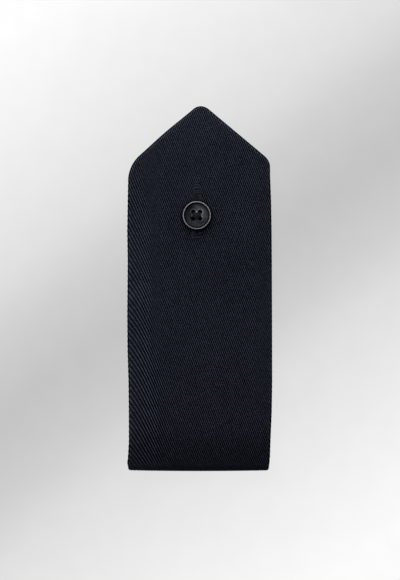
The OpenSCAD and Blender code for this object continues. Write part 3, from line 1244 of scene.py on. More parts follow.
@dataclass(frozen=True)
class ThreadFinish:
    """Twisted sewing thread with a little shine on its fibres.

    Attributes:
        name: The material's name.
        dye: Its colour.
        button_place: X and Y of the button's axis, round which shade under its rim is painted on the
            thread.
    """

    name: str
    dye: Colour
    button_place: Pair | None = None
    # Sizes in millimetres of the uneven patches and of the fibres
    patch_size: float = 3.0
    fibre_size: float = 0.07
    # How far the tones of the patches and of the strands spread
    patch_swing: float = 0.9
    strand_swing: float = 0.2
    roughness: float = 0.7
    roughness_swing: float = 0.2
    gloss: float = 0.04
    bump: float = 0.02 * MM

    def material(self, effects: Effects) -> Material:
        """Builds the material. A strand's number plus half of its gain in painted light is in its UV map.

        Args:
            effects: The shared node groups.

        Returns:
            The material.
        """
        graph = Surface(self.name)
        sizes = {"Patch size": self.patch_size, "Fibre size": self.fibre_size}
        fibre = graph.effect(effects.fibre, sizes)
        number = graph.uv("strand")[1]
        whole = graph.math("ROUND", number)
        tone = graph.node("TexWhiteNoise", {"W": whole}, noise_dimensions="1D").outputs[0]
        levels = [
            graph.about(fibre["Tone"], 1.0, self.patch_swing),
            graph.about(tone, 1.0, self.strand_swing),
            # Painted light or shade for each strand
            graph.scaled(graph.math("SUBTRACT", number, whole), 2.0, 1.0),
        ]
        # Painted shade under the button's rim, on the thread
        if self.button_place:
            levels.append(effects.button_shaded(graph, self.button_place))
        looks = {
            "Base Color": graph.tinted(self.dye, graph.product(*levels)),
            "Roughness": graph.about(fibre["Fibre"], self.roughness, self.roughness_swing),
            "Normal": graph.bump(fibre["Fibre"], self.bump),
            "Specular IOR Level": self.gloss,
        }
        return graph.finished(looks)


@dataclass(frozen=True)
class ButtonFinish:
    """Polished smoke-grey polyester with painted light and shade: a rim highlight, a shaded groove, two
    lit sides, glints.

    Attributes:
        centre: The middle of the button's base.
        hole_offset: Distance of the holes' centres from the two middle lines, in metres.
        hole_r: Radius of the holes, in metres.
    """

    centre: Triple
    hole_offset: float
    hole_r: float
    dark: Colour = colour(0.0001, 0.0016, 0.0058)
    light: Colour = colour(0.0330, 0.0372, 0.0362)
    # Painted highlight on the rim
    rim: Colour = colour(0.272, 0.284, 0.292)
    # Painted shade in the groove inside the rim
    groove: Colour = colour(0.001, 0.001, 0.002)
    # Colour of the painted glints
    painted_glint: Colour = colour(0.190, 0.190, 0.186)
    # The rim's painted highlight: its inner and outer place, how softly both start, what is left of it on
    # the flank
    rim_highlight_reach: Pair = (5.28 * MM, 5.44 * MM)
    rim_highlight_softness: float = 0.08 * MM
    flank_share: float = 0.05
    # Where the groove's painted shade lies, and how wide it is
    groove_shade_place: float = 4.78 * MM
    groove_shade_width: float = 0.34 * MM
    # Each side of the well with painted light: the way it faces, the places along that way between which
    # it rises, its share
    lit_sides: Table = (
        (0.74, 0.67, 0.2 * MM, 2.8 * MM, 1.16),
        (-0.50, -0.87, 1.4 * MM, 2.9 * MM, 0.28),
    )
    # Clouds in the smoke: how many to a metre, their detail, the noise between which they rise, share
    cloud_scale: float = 0.55 / MM
    cloud_detail: float = 3.0
    cloud_noise: Pair = (0.3, 0.7)
    cloud_share: float = 0.2
    # Painted glints beside the thread: place across and along, radius, share; and the full part of a
    # radius
    glint_spots: Table = (
        (-0.08 * MM, 1.45 * MM, 0.52 * MM, 0.95),
        (2.10 * MM, -0.45 * MM, 0.55 * MM, 0.8),
        (-2.00 * MM, -0.20 * MM, 0.40 * MM, 0.30),
    )
    glint_core: float = 0.3
    # Painted highlights round the holes' edges that face the light: how far from their edge they reach,
    # their share, the way they face, how far along that way they rise and how steeply
    hole_glint_reach: Pair = (0.08 * MM, 0.6 * MM)
    hole_glint_share: float = 0.65
    hole_glint_heading: Pair = (0.64, 0.77)
    hole_glint_rise: float = 3.2 * MM
    hole_glint_power: float = 1.3
    # Painted shade: the pad under the thread is darker than the well's slope, and the slope darkens
    # towards the rim
    pad_edge: Pair = (1.5 * MM, 2.0 * MM)
    pad_shade_level: float = 0.15
    well_edge: Pair = (2.7 * MM, 4.5 * MM)
    well_shade_level: float = 0.3
    scratch_scale: float = 6 / MM
    scratch_depth: float = 0.01 * MM
    scratch_strength: float = 0.4
    roughness: float = 0.4
    roughness_swing: float = 0.16
    groove_roughness: float = 0.5
    gloss: float = 0.09
    coat: float = 0.03
    coat_roughness: float = 0.2

    def smoke(self, graph: Graph, place: Sequence[Socket]) -> Socket:
        """The smoke-grey of the well and the pad: clouds, painted light on two sides, painted shade
        inside and outside.

        Args:
            graph: The material's graph.
            place: Places across and along from the axis, and the distance from it.

        Returns:
            The colour.
        """
        x, y, radius = place
        clouds = graph.noise(graph.place(), self.cloud_scale, self.cloud_detail)
        share = graph.remap(clouds, *self.cloud_noise, (-self.cloud_share, self.cloud_share))
        for heading_x, heading_y, low, high, most in self.lit_sides:
            side = graph.remap(towards(graph, x, y, (heading_x, heading_y)), low, high, (0.0, most))
            share = graph.math("ADD", share, side)
        # Painted shade towards the rim and on the pad under the thread
        slope = graph.remap(radius, *self.well_edge, (1.0, self.well_shade_level))
        pad = graph.remap(radius, *self.pad_edge, (self.pad_shade_level, 1.0))
        share = graph.math("MAXIMUM", graph.product(share, slope, pad), 0.0)
        return graph.mix(share, self.dark, self.light)

    def glints(self, graph: Graph, place: Sequence[Socket]) -> Socket:
        """Share of the painted glints' colour: round the holes' outer edges and in the spots beside the
        thread.

        Args:
            graph: The material's graph.
            place: Places across and along from the axis, and the distance from it.

        Returns:
            The share.
        """
        x, y, radius = place
        offset = self.hole_offset
        from_hole = graph.away(graph.math("ABSOLUTE", x), graph.math("ABSOLUTE", y), offset, offset)
        low, high = (self.hole_r + reach for reach in self.hole_glint_reach)
        facing = graph.remap(towards(graph, x, y, self.hole_glint_heading), -self.hole_glint_rise, self.hole_glint_rise)
        painted_glint = graph.product(
            graph.remap(from_hole, low, high, (self.hole_glint_share, 0.0)),
            graph.math("POWER", facing, self.hole_glint_power),
            graph.remap(radius, *self.pad_edge),
        )
        for spot_x, spot_y, spot_r, most in self.glint_spots:
            away = graph.away(x, y, spot_x, spot_y)
            spot = graph.remap(away, self.glint_core * spot_r, spot_r, (most, 0.0))
            painted_glint = graph.math("MAXIMUM", painted_glint, spot)
        return painted_glint

    def material(self) -> Material:
        """Builds the material on the distances from the button's axis and from the nearest hole.

        Returns:
            The material.
        """
        graph = Surface("smoke_polyester")
        point = graph.split(graph.place())
        x, y = (graph.math("SUBTRACT", point[part], self.centre[part]) for part in (0, 1))
        radius = graph.length(x, y)
        place = (x, y, radius)
        # Painted glints over the smoke-grey
        base = graph.mix(self.glints(graph, place), self.smoke(graph, place), self.painted_glint)
        # Painted shade in the groove
        groove = graph.bell(radius, self.groove_shade_place, self.groove_shade_width)
        base = graph.mix(groove, base, self.groove)
        # Painted highlight on the rim
        rise, fall = ((edge - self.rim_highlight_softness, edge + self.rim_highlight_softness) for edge in self.rim_highlight_reach)
        rising = graph.remap(radius, *rise)
        falling = graph.remap(radius, *fall, (1.0, self.flank_share))
        scratch = graph.noise(graph.place(), self.scratch_scale)
        rough = graph.about(scratch, self.roughness, self.roughness_swing)
        looks = {
            "Base Color": graph.mix(graph.product(rising, falling), base, self.rim),
            "Roughness": graph.scaled(groove, self.groove_roughness, rough),
            "Normal": graph.bump(scratch, self.scratch_depth, self.scratch_strength),
            "Specular IOR Level": self.gloss,
            "Coat Weight": self.coat,
            "Coat Roughness": self.coat_roughness,
        }
        return graph.finished(looks)


def towards(graph: Graph, x: Socket, y: Socket, heading: Pair) -> Socket:
    """How far a flat vector reaches along a heading."""
    return graph.scaled(x, heading[0], graph.product(y, heading[1]))


@dataclass(frozen=True)
class FloorFinish:
    """A pale floor that glows by its own emission as painted light, with painted shade graded from near
    white to light grey along one slanting band.
    """

    light: Colour = colour(0.98, 0.98, 0.98)
    # Colour of the painted shade at the band's middle
    grey: Colour = colour(0.557, 0.557, 0.557)
    band_slope: float = 0.73
    # The band's left part is lifted off the slanting line
    band_lift: Ramp = Ramp(Way.ACROSS, -35, 35, 6 * MM, 0.0)
    # How far it reaches, how soft its middle is, and the share and the power by which it grows paler
    band_reach: float = 130 * MM
    band_softness: float = 10 * MM
    band_share: float = 0.98
    band_power: float = 0.9
    step_reach: Pair = (22 * MM, 50 * MM)
    step_share: float = 0.124
    # A faint grain: how many grains to a metre, the noise between which it rises, its lowest level
    grain_scale: float = 0.1 / MM
    grain_noise: Pair = (0.2, 0.8)
    grain_level: float = 0.98
    reflection: Colour = colour(0.03, 0.03, 0.03)
    roughness: float = 0.9
    # The floor's own emission: painted light that leaves it almost without shadows
    painted_glow: float = 0.972

    def material(self) -> Material:
        """Builds the material on the distance from the band's middle line.

        Close to the line the distance is rounded: the root of its square plus the softness squared,
        less the softness.

        Returns:
            The material.
        """
        graph = Surface("pale_floor")
        place = graph.split(graph.place())
        height = graph.scaled(place[0], -self.band_slope, place[1])
        height = graph.math("SUBTRACT", height, self.band_lift.at(graph, place))
        away = graph.product(height, 1 / math.hypot(1, self.band_slope))
        softened = graph.scaled(away, away, self.band_softness**2)
        rounded = graph.math("SUBTRACT", graph.math("SQRT", softened), self.band_softness)
        share = graph.math("POWER", graph.product(rounded, 1 / self.band_reach), self.band_power)
        step = graph.remap(graph.math("ABSOLUTE", away), *self.step_reach, (0.0, self.step_share))
        share = graph.scaled(share, self.band_share, step)
        paint = graph.mix(graph.math("MINIMUM", share, 1.0), self.grey, self.light)
        noise = graph.noise(graph.place(), self.grain_scale)
        table = graph.tinted(paint, graph.remap(noise, *self.grain_noise, (self.grain_level, 1.0)))
        looks = {
            "Base Color": graph.mix(1.0, table, self.reflection, "MULTIPLY"),
            "Roughness": self.roughness,
            "Specular IOR Level": 0.0,
            "Emission Color": table,
            "Emission Strength": self.painted_glow,
        }
        return graph.finished(looks)


@dataclass(frozen=True)
class Fastening:
    """Where the button closes the strap, and the sizes of the cut and the holes for its thread."""

    foot_y: float
    x: float = -1.1 * MM
    above_foot: float = 102.2 * MM
    hole_length: float = 22.8 * MM
    hole_below: float = 9.1 * MM
    bar: float = 1.32 * MM
    neck_length: float = 2.8 * MM
    cut_width: float = 0.6 * MM
    eye_d: float = 2.3 * MM
    under_hole_d: float = 1.9 * MM
    dimple_d: float = 5.4 * MM
    dimple_depth: float = 0.55 * MM

    @property
    def axis(self) -> Pair:
        """X and Y of the button's axis."""
        return self.x, self.foot_y + self.above_foot

    @property
    def centre(self) -> Array:
        """The button's axis at height zero."""
        return np.array([*self.axis, 0.0])

    @property
    def cut_ends(self) -> Pair:
        """The cut's lower and upper end above the button's centre."""
        upper = self.hole_length - self.hole_below - self.neck_length - self.bar
        return self.bar - self.hole_below, upper


@dataclass(frozen=True)
class StrapCloth:
    """The looped strap of twill: ribbed outer side, plain inner side, rolled edges, cut and holes."""

    form: StrapForm
    twill: Twill
    mark: Fastening
    undulation: Undulation = Undulation()
    # Shares of the width where the inner side's columns lie: in the left rolled edge, with the same in
    # the right one, and the reach and number of those between
    edge_columns: tuple[float, ...] = (0, 0.005, 0.011, 0.018, 0.03)
    flat_columns: tuple[float, float, int] = (0.08, 0.92, 11)
    # The roll's width in plan grows with the slant, down to this cosine and up to this share of the width
    least_cosine: float = 0.01
    most_roll: float = 0.4
    seam_depth: float = 1.8 * MM
    seam_width: float = 0.35 * MM
    seam_sink: float = 0.06 * MM
    side_seam_share: float = 0.35
    # Length below the shoulders over which the seam deepens
    seam_rise: float = 6 * MM
    # How far the cutters reach out of the cloth, and how high above the under strap the cut ends
    cutter_reach: float = 1 * MM
    cut_clearance: float = 0.4 * MM
    cut_end_points: int = 9
    hole_sides: int = 40
    dimple_sides: int = 64

    @property
    def inner_columns(self) -> Array:
        """Shares of the width where all of the inner side's columns lie."""
        edge = np.array(self.edge_columns)
        return np.concatenate([edge, np.linspace(*self.flat_columns), 1 - edge[::-1]])

    def seam(self, rows: Rows, depth: Array) -> Array:
        """Sink of the cloth along the seam inside its edge: a bell curve across the seam.

        It is full along the two slanting edges and shallower down the sides.

        Args:
            rows: The cross-sections.
            depth: Distance of each point from the outline.

        Returns:
            Heights, zero or below.
        """
        share = self.side_seam_share + (1 - self.side_seam_share) * self.slanting(rows)
        bell = np.exp(-(((depth - self.seam_depth) / self.seam_width) ** 2))
        return -self.seam_sink * share * rows.on(Part.FACE) * bell

    def slanting(self, rows: Rows) -> Array:
        """How far each row belongs to the point: 0 below the shoulders and 1 on the slanting edges."""
        shoulder = self.form.face_length - self.form.drops[Side.LEFT.index]
        return rows.on(Part.FACE) * np.clip((rows.height[:, None] - shoulder) / self.seam_rise + 1, 0, 1)

    def unrolled(self, rows: Rows) -> tuple[Array, Array, Array]:
        """Where each edge lies across the unrolled cloth, and how wide its roll is in plan.

        The roll is a quarter circle in section, so unrolling it makes it half of pi times as wide.

        Args:
            rows: The cross-sections.

        Returns:
            The left and right ends and the widths of the rolls, left then right, each as a column.
        """
        slanted = self.form.edge_r / np.maximum(rows.cosine, self.least_cosine)
        rolls = np.minimum(slanted, self.most_roll * rows.reach.sum(0))
        ends = rows.reach + rolls * (QUARTER - 1)
        return -ends[0][:, None], ends[1][:, None], rolls[..., None]

    def folded(self, rows: Rows, u: Array) -> Array:
        """Folds the edges' rolls: on a roll the place in plan follows the cosine of the turn.

        Args:
            rows: The cross-sections.
            u: Places across the unrolled cloth, by row and column.

        Returns:
            The places across in plan.
        """
        low, high, rolls = self.unrolled(rows)
        left = np.clip((u - low) / rolls[0], 0, QUARTER)
        right = np.clip((high - u) / rolls[1], 0, QUARTER)
        flat_left = -rows.reach[0][:, None] + rolls[0] * (1 - np.cos(left))
        flat_right = rows.reach[1][:, None] - rolls[1] * (1 - np.cos(right))
        return np.where(left < QUARTER, flat_left, np.where(right < QUARTER, flat_right, u))

    def layer(self, rows: Rows, u: Array, edge: float, ribs: Array | None = None) -> Shell:
        """One side of the cloth, as points without triangles.

        Args:
            rows: The cross-sections.
            u: Places across the unrolled cloth, by row and column.
            edge: Where the left edge lies across it.
            ribs: Heights of the ribs on the outer side, and None for the inner side.

        Returns:
            The points. Their UV holds rib count and place along the ribs in millimetres, and distance
            from the outline in millimetres and how far the point belongs to the strap's own point.
        """
        s = rows.length[:, None] + 0 * u
        x = self.folded(rows, u)
        depth = self.form.depth(rows, x)
        roll = self.form.roll(depth)
        lift = -self.form.edge_r * roll
        if ribs is not None:
            lift = self.form.edge_r * roll + (ribs * roll + self.seam(rows, depth))
        wave = self.undulation.at(x, s) * rows.on(Part.FACE) * roll
        points = self.form.place(rows, x, lift + wave)
        turn = math.hypot(self.twill.across, self.twill.along)
        along = (self.twill.across * s - self.twill.along * u) / turn
        twill = np.stack([self.twill.phase(u, s, edge), along / MM], -1)
        outline = np.stack([depth / MM, self.slanting(rows) + 0 * u], -1)
        maps = {"twill": twill.reshape(-1, 2), "outline": outline.reshape(-1, 2)}
        return Shell(points.reshape(-1, 3), np.empty((0, 3), int), maps)

    def shell(self) -> Shell:
        """Makes the closed surface of the loop.

        The outer side's columns follow the ribs at fixed phases, so that few rows carry the relief. A
        column that leaves the cloth shrinks onto the edge, whose points both sides share. The inner
        side has a few plain columns. The first row is the tip's one point, and the last row is the under
        strap's end, where the ribs' columns gather on the inner side's points.

        Returns:
            The surface, with the UV of its two sides.
        """
        rows = self.form.rows()
        low, high, _ = self.unrolled(rows)
        s = rows.length[:, None]
        edge = -self.form.face_width / 2 - self.form.edge_r * (QUARTER - 1)
        ends = self.twill.phase(np.hstack([low, high]), s, edge)
        counts = np.arange(math.floor(ends.min()), math.ceil(ends.max()) + 1)
        phases = (counts[:, None] + np.array(self.twill.samples)).ravel()[None, :]
        u = self.twill.place(phases, s, edge)
        columns = self.inner_columns
        inner = self.layer(rows, low + (high - low) * columns, edge)
        outer = self.layer(rows, np.clip(u, low, high), edge, self.twill.height(phases))

        inner_ids = np.arange(len(s) * len(columns)).reshape(len(s), -1)
        inner_ids[0] = 0
        outer_ids = inner_ids.size + np.arange(u.size).reshape(u.shape)
        outer_ids = np.select([u <= low, u >= high], [inner_ids[:, :1], inner_ids[:, -1:]], outer_ids)
        outer_ids[0] = 0
        share = (u[-1] - low[-1]) / (high[-1] - low[-1])
        between = (columns[1:] + columns[:-1]) / 2
        outer_ids[-1] = inner_ids[-1][np.searchsorted(between, share)]
        cloth = Shell.joined([inner, outer])
        sides = [grid_triangles(outer_ids, flip=True), grid_triangles(inner_ids)]
        cloth.triangles = np.concatenate(sides)
        return cloth.trimmed()

    def cutters(self) -> list[Object]:
        """Makes solids of the buttonhole's cut with its eye, the hole in the under strap and its dimple.

        Returns:
            The solids. The cut is a slot with round ends.
        """
        mark, centre = self.mark, self.mark.centre
        low, high = self.form.cloth + self.cut_clearance, self.form.face_top + self.cutter_reach
        half = mark.cut_width / 2
        lower, upper = mark.cut_ends
        turn = np.linspace(0, math.pi, self.cut_end_points)
        arc = half * np.stack([np.cos(turn), np.sin(turn)], 1)
        outline = np.concatenate([[0, upper - half] + arc, [0, lower + half] - arc])
        out = -self.cutter_reach
        shells = [prism(outline + centre[:2], low, high)]
        for across, base, top, sides in (
            (mark.eye_d, low, high, self.hole_sides),
            (mark.under_hole_d, out, low, self.hole_sides),
            (mark.dimple_d, out, mark.dimple_depth, self.dimple_sides),
        ):
            profile = np.array([[0, base], [across / 2, base], [across / 2, top], [0, top]])
            shells.append(revolved(profile, sides, centre))
        return [shell.to_object("cutter") for shell in shells]

    def build(self, effects: Effects) -> Object:
        """Makes the cloth, cuts it and dresses it.

        Args:
            effects: The shared node groups.

        Returns:
            The finished piece.
        """
        strap = self.shell().to_object("strap_cloth")
        subtract(strap, self.cutters())
        return dress(strap, TwillFinish(self.mark.axis).material(effects))

    def flat_area(self) -> Triple:
        """Measures the cloth before it is folded.

        Returns:
            The greatest width, the length along the middle line and the area inside the outline.
        """
        rows = self.form.rows()
        steps = np.hypot(np.diff(rows.y), np.diff(rows.z))
        widths = rows.reach.sum(0)
        area = float(np.sum(steps * (widths[1:] + widths[:-1]) / 2))
        return self.form.face_width, float(steps.sum()), area


def subtract(target: Object, cutters: Sequence[Object]) -> None:
    """Cuts solids out of a closed mesh and keeps its edges crisp there.

    Args:
        target: The object to cut; its mesh is replaced.
        cutters: The solids, which are removed afterwards.
    """
    for cutter in cutters:
        modifier = target.modifiers.new("cut", "BOOLEAN")
        modifier.operation = "DIFFERENCE"
        modifier.solver = "MANIFOLD"
        modifier.object = cutter
    graph = bpy.context.evaluated_depsgraph_get()
    cut = bpy.data.meshes.new_from_object(target.evaluated_get(graph))
    target.modifiers.clear()
    old, target.data = target.data, cut
    for mesh in (old, *(cutter.data for cutter in cutters)):
        bpy.data.meshes.remove(mesh)
    cut.set_sharp_from_angle(angle=CRISP_ANGLE)


def dress(piece: Object, material: Material) -> Object:
    """Gives a piece its one material.

    Args:
        piece: The piece.
        material: The material.

    Returns:
        The piece.
    """
    piece.data.materials.clear()
    piece.data.materials.append(material)
    return piece


@dataclass(frozen=True)
class Buttonhole:
    """The thread work round the cut: close stitches on both sides, a purl along the cut, end bars."""

    form: StrapForm
    mark: Fastening
    spacing: float = 0.43 * MM
    thread_r: float = 0.2 * MM
    thread_sides: int = 7
    seed: int = 11
    # Columns in millimetres: a stitch's distance from the cut's middle, its height above the cloth
    arch: Table = (
        (1.98, -0.3),
        (1.9, -0.02),
        (1.66, 0.13),
        (1.25, 0.17),
        (0.8, 0.17),
        (0.5, 0.1),
        (0.38, -0.35),
    )
    stitch_points: int = 12
    # How the stitches differ: in place along the cut, in reach, in lean and in thickness as a share
    place_spread: float = 0.03 * MM
    reach_spread: float = 0.05 * MM
    lean: float = 0.09 * MM
    lean_spread: float = 0.04 * MM
    thickness_spread: float = 0.06
    # The purl: its radius, its swelling as a share, its place beside the cut's middle and above the
    # cloth, how far it gives way to the eye, and over which share of the eye's width
    purl_r: float = 0.17 * MM
    purl_swell: float = 0.28
    purl_place: float = 0.5 * MM
    purl_lift: float = 0.2 * MM
    purl_points: int = 180
    eye_room: float = 0.75 * MM
    eye_reach: float = 0.6
    # The tacks' strands: place from the end, half length and lift in millimetres, gain in painted light,
    # pale on lit proud strands and dark for painted shade in the gaps
    lower_tack: Table = ((0.32, 1.9, 0.3, 0.1), (1.25, 1.9, 0.1, 0.0), (1.6, 1.9, 0.1, -0.2))
    upper_tack: Table = (
        (0.5, 0.95, 0.1, 0.0),
        (0.85, 0.95, 0.3, 0.1),
        (1.3, 0.95, 0.2, 0.15),
        (1.6, 0.95, 0.1, 0.0),
        (1.9, 0.75, 0.25, -0.34),
        (2.3, 0.95, 0.1, 0.0),
        (2.6, 0.95, 0.2, 0.15),
        (2.95, 1.5, 0.1, 0.05),
        (3.2, 0.8, 0.25, -0.36),
        (3.6, 1.5, 0.1, 0.1),
        (3.9, 1.6, 0.1, 0.1),
        (4.25, 1.3, 0.25, -0.25),
        (4.65, 1.9, 0.2, 0.12),
    )
    strand_points: int = 15
    strand_shift: float = 0.07 * MM
    strand_lean: float = 0.05 * MM
    # Where a strand turns down, as a share of its half length, how steeply, and how deep its ends go
    strand_turn: float = 0.84
    strand_power: float = 1.5
    strand_sink: float = 0.4 * MM
    # Strands lifted more than this are thicker, by this share
    proud_lift: float = 0.2 * MM
    proud_gain: float = 0.2

    def threads(self, paths: Array, radii: Array, up: Array, light_gains: Array | float = 0.0) -> Shell:
        """Threads along paths that are given from the button's axis, as tubes() makes them."""
        return tubes(paths + self.mark.centre, radii, self.thread_sides, up, light_gains=light_gains)

    def stitches(self) -> Shell:
        """Makes the two rows of side stitches.

        Each stitch runs from the outer edge to the cut along an arch: it comes out of the cloth,
        lies on it and turns down into the cut. Its places differ a little at random.

        Returns:
            The stitches as one shell.
        """
        random = np.random.default_rng(self.seed)
        places = np.arange(*self.mark.cut_ends, self.spacing)
        sides = np.repeat([side.value for side in Side], len(places))[:, None]
        y = np.tile(places, 2)[:, None] + random.normal(0, self.place_spread, (2 * len(places), 1))
        corners = np.arange(len(self.arch))
        fine = np.linspace(0, corners[-1], self.stitch_points)
        distance, height = (np.interp(fine, corners, column) * MM for column in np.array(self.arch).T)
        outer_share = (distance / distance[0])[None, :]
        jitter = random.normal(0, self.reach_spread, sides.shape)
        lean = random.normal(self.lean, self.lean_spread, sides.shape)
        across = sides * (distance + jitter * outer_share)
        along = y + lean * sides * outer_share
        paths = np.stack([across, along, self.form.face_top + height + 0 * y], -1)
        radii = self.thread_r * (1 + random.normal(0, self.thickness_spread, sides.shape))
        return self.threads(paths, radii, POINTWARDS)

    def purls(self) -> Shell:
        """Makes the knotted edge along each side of the cut.

        It is a thread whose radius swells at every stitch, with the cosine of the place, and which
        stands out round the eye by a bell curve.

        Returns:
            Both threads as one shell.
        """
        y = np.linspace(*self.mark.cut_ends, self.purl_points)[None, :]
        sides = np.array([[side.value] for side in Side])
        swell = 1 + self.purl_swell * np.cos(2 * math.pi * y / self.spacing + sides)
        beside_eye = np.exp(-((y / (self.mark.eye_d * self.eye_reach)) ** 2))
        x = sides * (self.purl_place + self.eye_room * beside_eye)
        paths = np.stack([x, y + 0 * x, self.form.face_top + self.purl_lift + 0 * x], -1)
        return self.threads(paths, self.purl_r * swell, UPWARDS)

    def bars(self) -> Shell:
        """Makes the tacks across both ends: strands side by side, each sunk into the cloth at its ends.

        The upper tack is long and has a narrow neck. In each, some strands carry painted light and others
        painted shade.

        Returns:
            The strands as one shell.
        """
        t = np.linspace(-1, 1, self.strand_points)[None, :]
        lower, upper = -self.mark.hole_below, self.mark.hole_length - self.mark.hole_below
        strands = [(lower + place * MM, *rest) for place, *rest in self.lower_tack]
        strands += [(upper - place * MM, *rest) for place, *rest in self.upper_tack]
        y, reach, lift, light_gains = np.array(strands).T[:, :, None]
        reach, lift = reach * MM, lift * MM
        random = np.random.default_rng(self.seed + 1)
        across = reach * t + random.normal(0, self.strand_shift, y.shape)
        turned = np.clip((np.abs(t) - self.strand_turn) / (1 - self.strand_turn), 0, 1)
        rise = lift - (lift + self.strand_sink) * turned**self.strand_power
        paths = np.stack([across, y + self.strand_lean * t, self.form.face_top + rise + 0 * y], -1)
        radii = self.thread_r * (1 + self.proud_gain * (lift > self.proud_lift))
        return self.threads(paths, radii, POINTWARDS, light_gains[:, 0])

    def build(self, effects: Effects) -> Object:
        """Makes the sewing and dresses it.

        Args:
            effects: The shared node groups.

        Returns:
            The finished piece.
        """
        made = Shell.joined([self.stitches(), self.purls(), self.bars()]).to_object("buttonhole_stitches")
        finish = ThreadFinish(
            "buttonhole_thread",
            dye=colour(0.0108, 0.0130, 0.0192),
            button_place=self.mark.axis,
            patch_size=5.0,
            patch_swing=2.4,
            strand_swing=1.1,
        )
        return dress(made, finish.material(effects))


@dataclass(frozen=True)
class Button:
    """The four-hole button: round base, rolled rim, groove, sloping well, flat pad with rounded holes."""

    form: StrapForm
    mark: Fastening
    radius: float = 5.7 * MM
    thickness: float = 2.6 * MM
    rim_r: float = 0.42 * MM
    rim_turn: float = math.radians(170)
    # The groove's bottom, from the rim's inner side and from the rim's centre
    groove_inset: float = 0.15 * MM
    groove_depth: float = 0.34 * MM
    well_depth: float = 0.95 * MM
    pad_r: float = 2.8 * MM
    hole_r: float = 0.875 * MM
    hole_pitch: float = 2.7 * MM
    hole_rounding: float = 0.3 * MM
    shank: float = 0.75 * MM
    base_share: float = 0.72
    sides: int = 128
    hole_sides: int = 32
    # Points of the flank, the rim, the groove's wall and the well's slope, and of a hole's rounding
    profile_points: tuple[int, int, int, int] = (10, 18, 6, 12)
    rounding_points: int = 6
    cutter_reach: float = 1 * MM

    @property
    def base_z(self) -> float:
        """Height of the button's base above the floor."""
        return self.form.face_top + self.shank

    @property
    def pad_height(self) -> float:
        """Height of the pad's face above the button's base."""
        return self.thickness - self.well_depth

    @property
    def centre(self) -> Array:
        """The middle of the button's base."""
        return self.mark.centre + self.base_z * UPWARDS

    def profile(self) -> Array:
        """Half of the button's section, from the base's middle round the rim to the pad's middle.

        The flank is a quarter of an ellipse, the rim an arc of a circle, and the step inside it a sine
        blend. The well falls with the square of the distance from the pad, so it meets the pad level.

        Returns:
            Radius and height of each point.
        """
        flank_points, rim_points, wall_points, slope_points = self.profile_points
        rim_x, rim_z = self.radius - self.rim_r, self.thickness - self.rim_r
        base_x = self.radius * self.base_share
        quarter = np.linspace(0, QUARTER, flank_points)[:-1]
        flank_x = base_x + (self.radius - base_x) * np.sin(quarter)
        flank = np.stack([flank_x, rim_z * (1 - np.cos(quarter))], 1)
        turn = np.linspace(0, self.rim_turn, rim_points)
        rim = np.stack([rim_x + self.rim_r * np.cos(turn), rim_z + self.rim_r * np.sin(turn)], 1)
        step = np.linspace(0, 1, wall_points)[1:, None]
        groove = np.array([rim_x - self.rim_r - self.groove_inset, rim_z - self.groove_depth])
        wall = rim[-1] + (groove - rim[-1]) * np.hstack([step, np.sin(step * QUARTER)])
        slope = np.linspace(0, 1, slope_points)[1:, None]
        inner = np.array([self.pad_r, self.pad_height])
        well = groove + (inner - groove) * np.hstack([slope, 1 - (1 - slope) ** 2])
        pad = np.array([[self.pad_r * share, self.pad_height] for share in (0.75, 0.5, 0.25, 0)])
        base = np.array([[base_x * share, 0] for share in (0, 0.5)])
        return np.concatenate([base, flank, rim, wall, well, pad])

    def hole_profile(self) -> Array:
        """The section of a thread hole, both of whose edges are rounded by a quarter circle.

        Returns:
            Radius and height of each point, with the cutter's reach below and above.
        """
        turn = np.linspace(0, QUARTER, self.rounding_points)
        flare = self.hole_r + self.hole_rounding * (1 - np.sin(turn))
        rise = self.hole_rounding * (1 - np.cos(turn))
        low, high = np.stack([flare, rise], 1), np.stack([flare, self.pad_height - rise], 1)[::-1]
        bottom, top = -self.cutter_reach, self.pad_height + self.cutter_reach
        return np.concatenate([[[0, bottom], [flare[0], bottom]], low, high, [[flare[0], top], [0, top]]])

    def hole_places(self) -> Array:
        """The four hole centres about the button's axis."""
        half = self.hole_pitch / 2
        return np.array([[a * half, b * half, 0] for a in (-1, 1) for b in (-1, 1)])

    def build(self) -> Object:
        """Makes the button, bores its holes and dresses it.

        Returns:
            The finished piece.
        """
        made = revolved(self.profile(), self.sides, self.centre).to_object("four_hole_button")
        hole = self.hole_profile()
        holes = [revolved(hole, self.hole_sides, self.centre + place) for place in self.hole_places()]
        subtract(made, [shell.to_object("cutter") for shell in holes])
        finish = ButtonFinish(tuple(self.centre), self.hole_pitch / 2, self.hole_r)
        return dress(made, finish.material())


class Facing(Enum):
    """Where a cross of thread faces; the value is the sign of Z there."""

    UP = 1
    DOWN = -1


@dataclass(frozen=True)
class Cross:
    """Two bundles of strands that cross at right angles, each bent down at its ends.

    Attributes:
        reach: Half of the strands' length.
        drop: How far their ends go back into what they are sewn to.
        radius: Radius of a strand.
        hump: How far the second bundle passes over the first.
        facing: Where it faces.
    """

    reach: float
    drop: float
    radius: float
    hump: float
    facing: Facing = Facing.UP


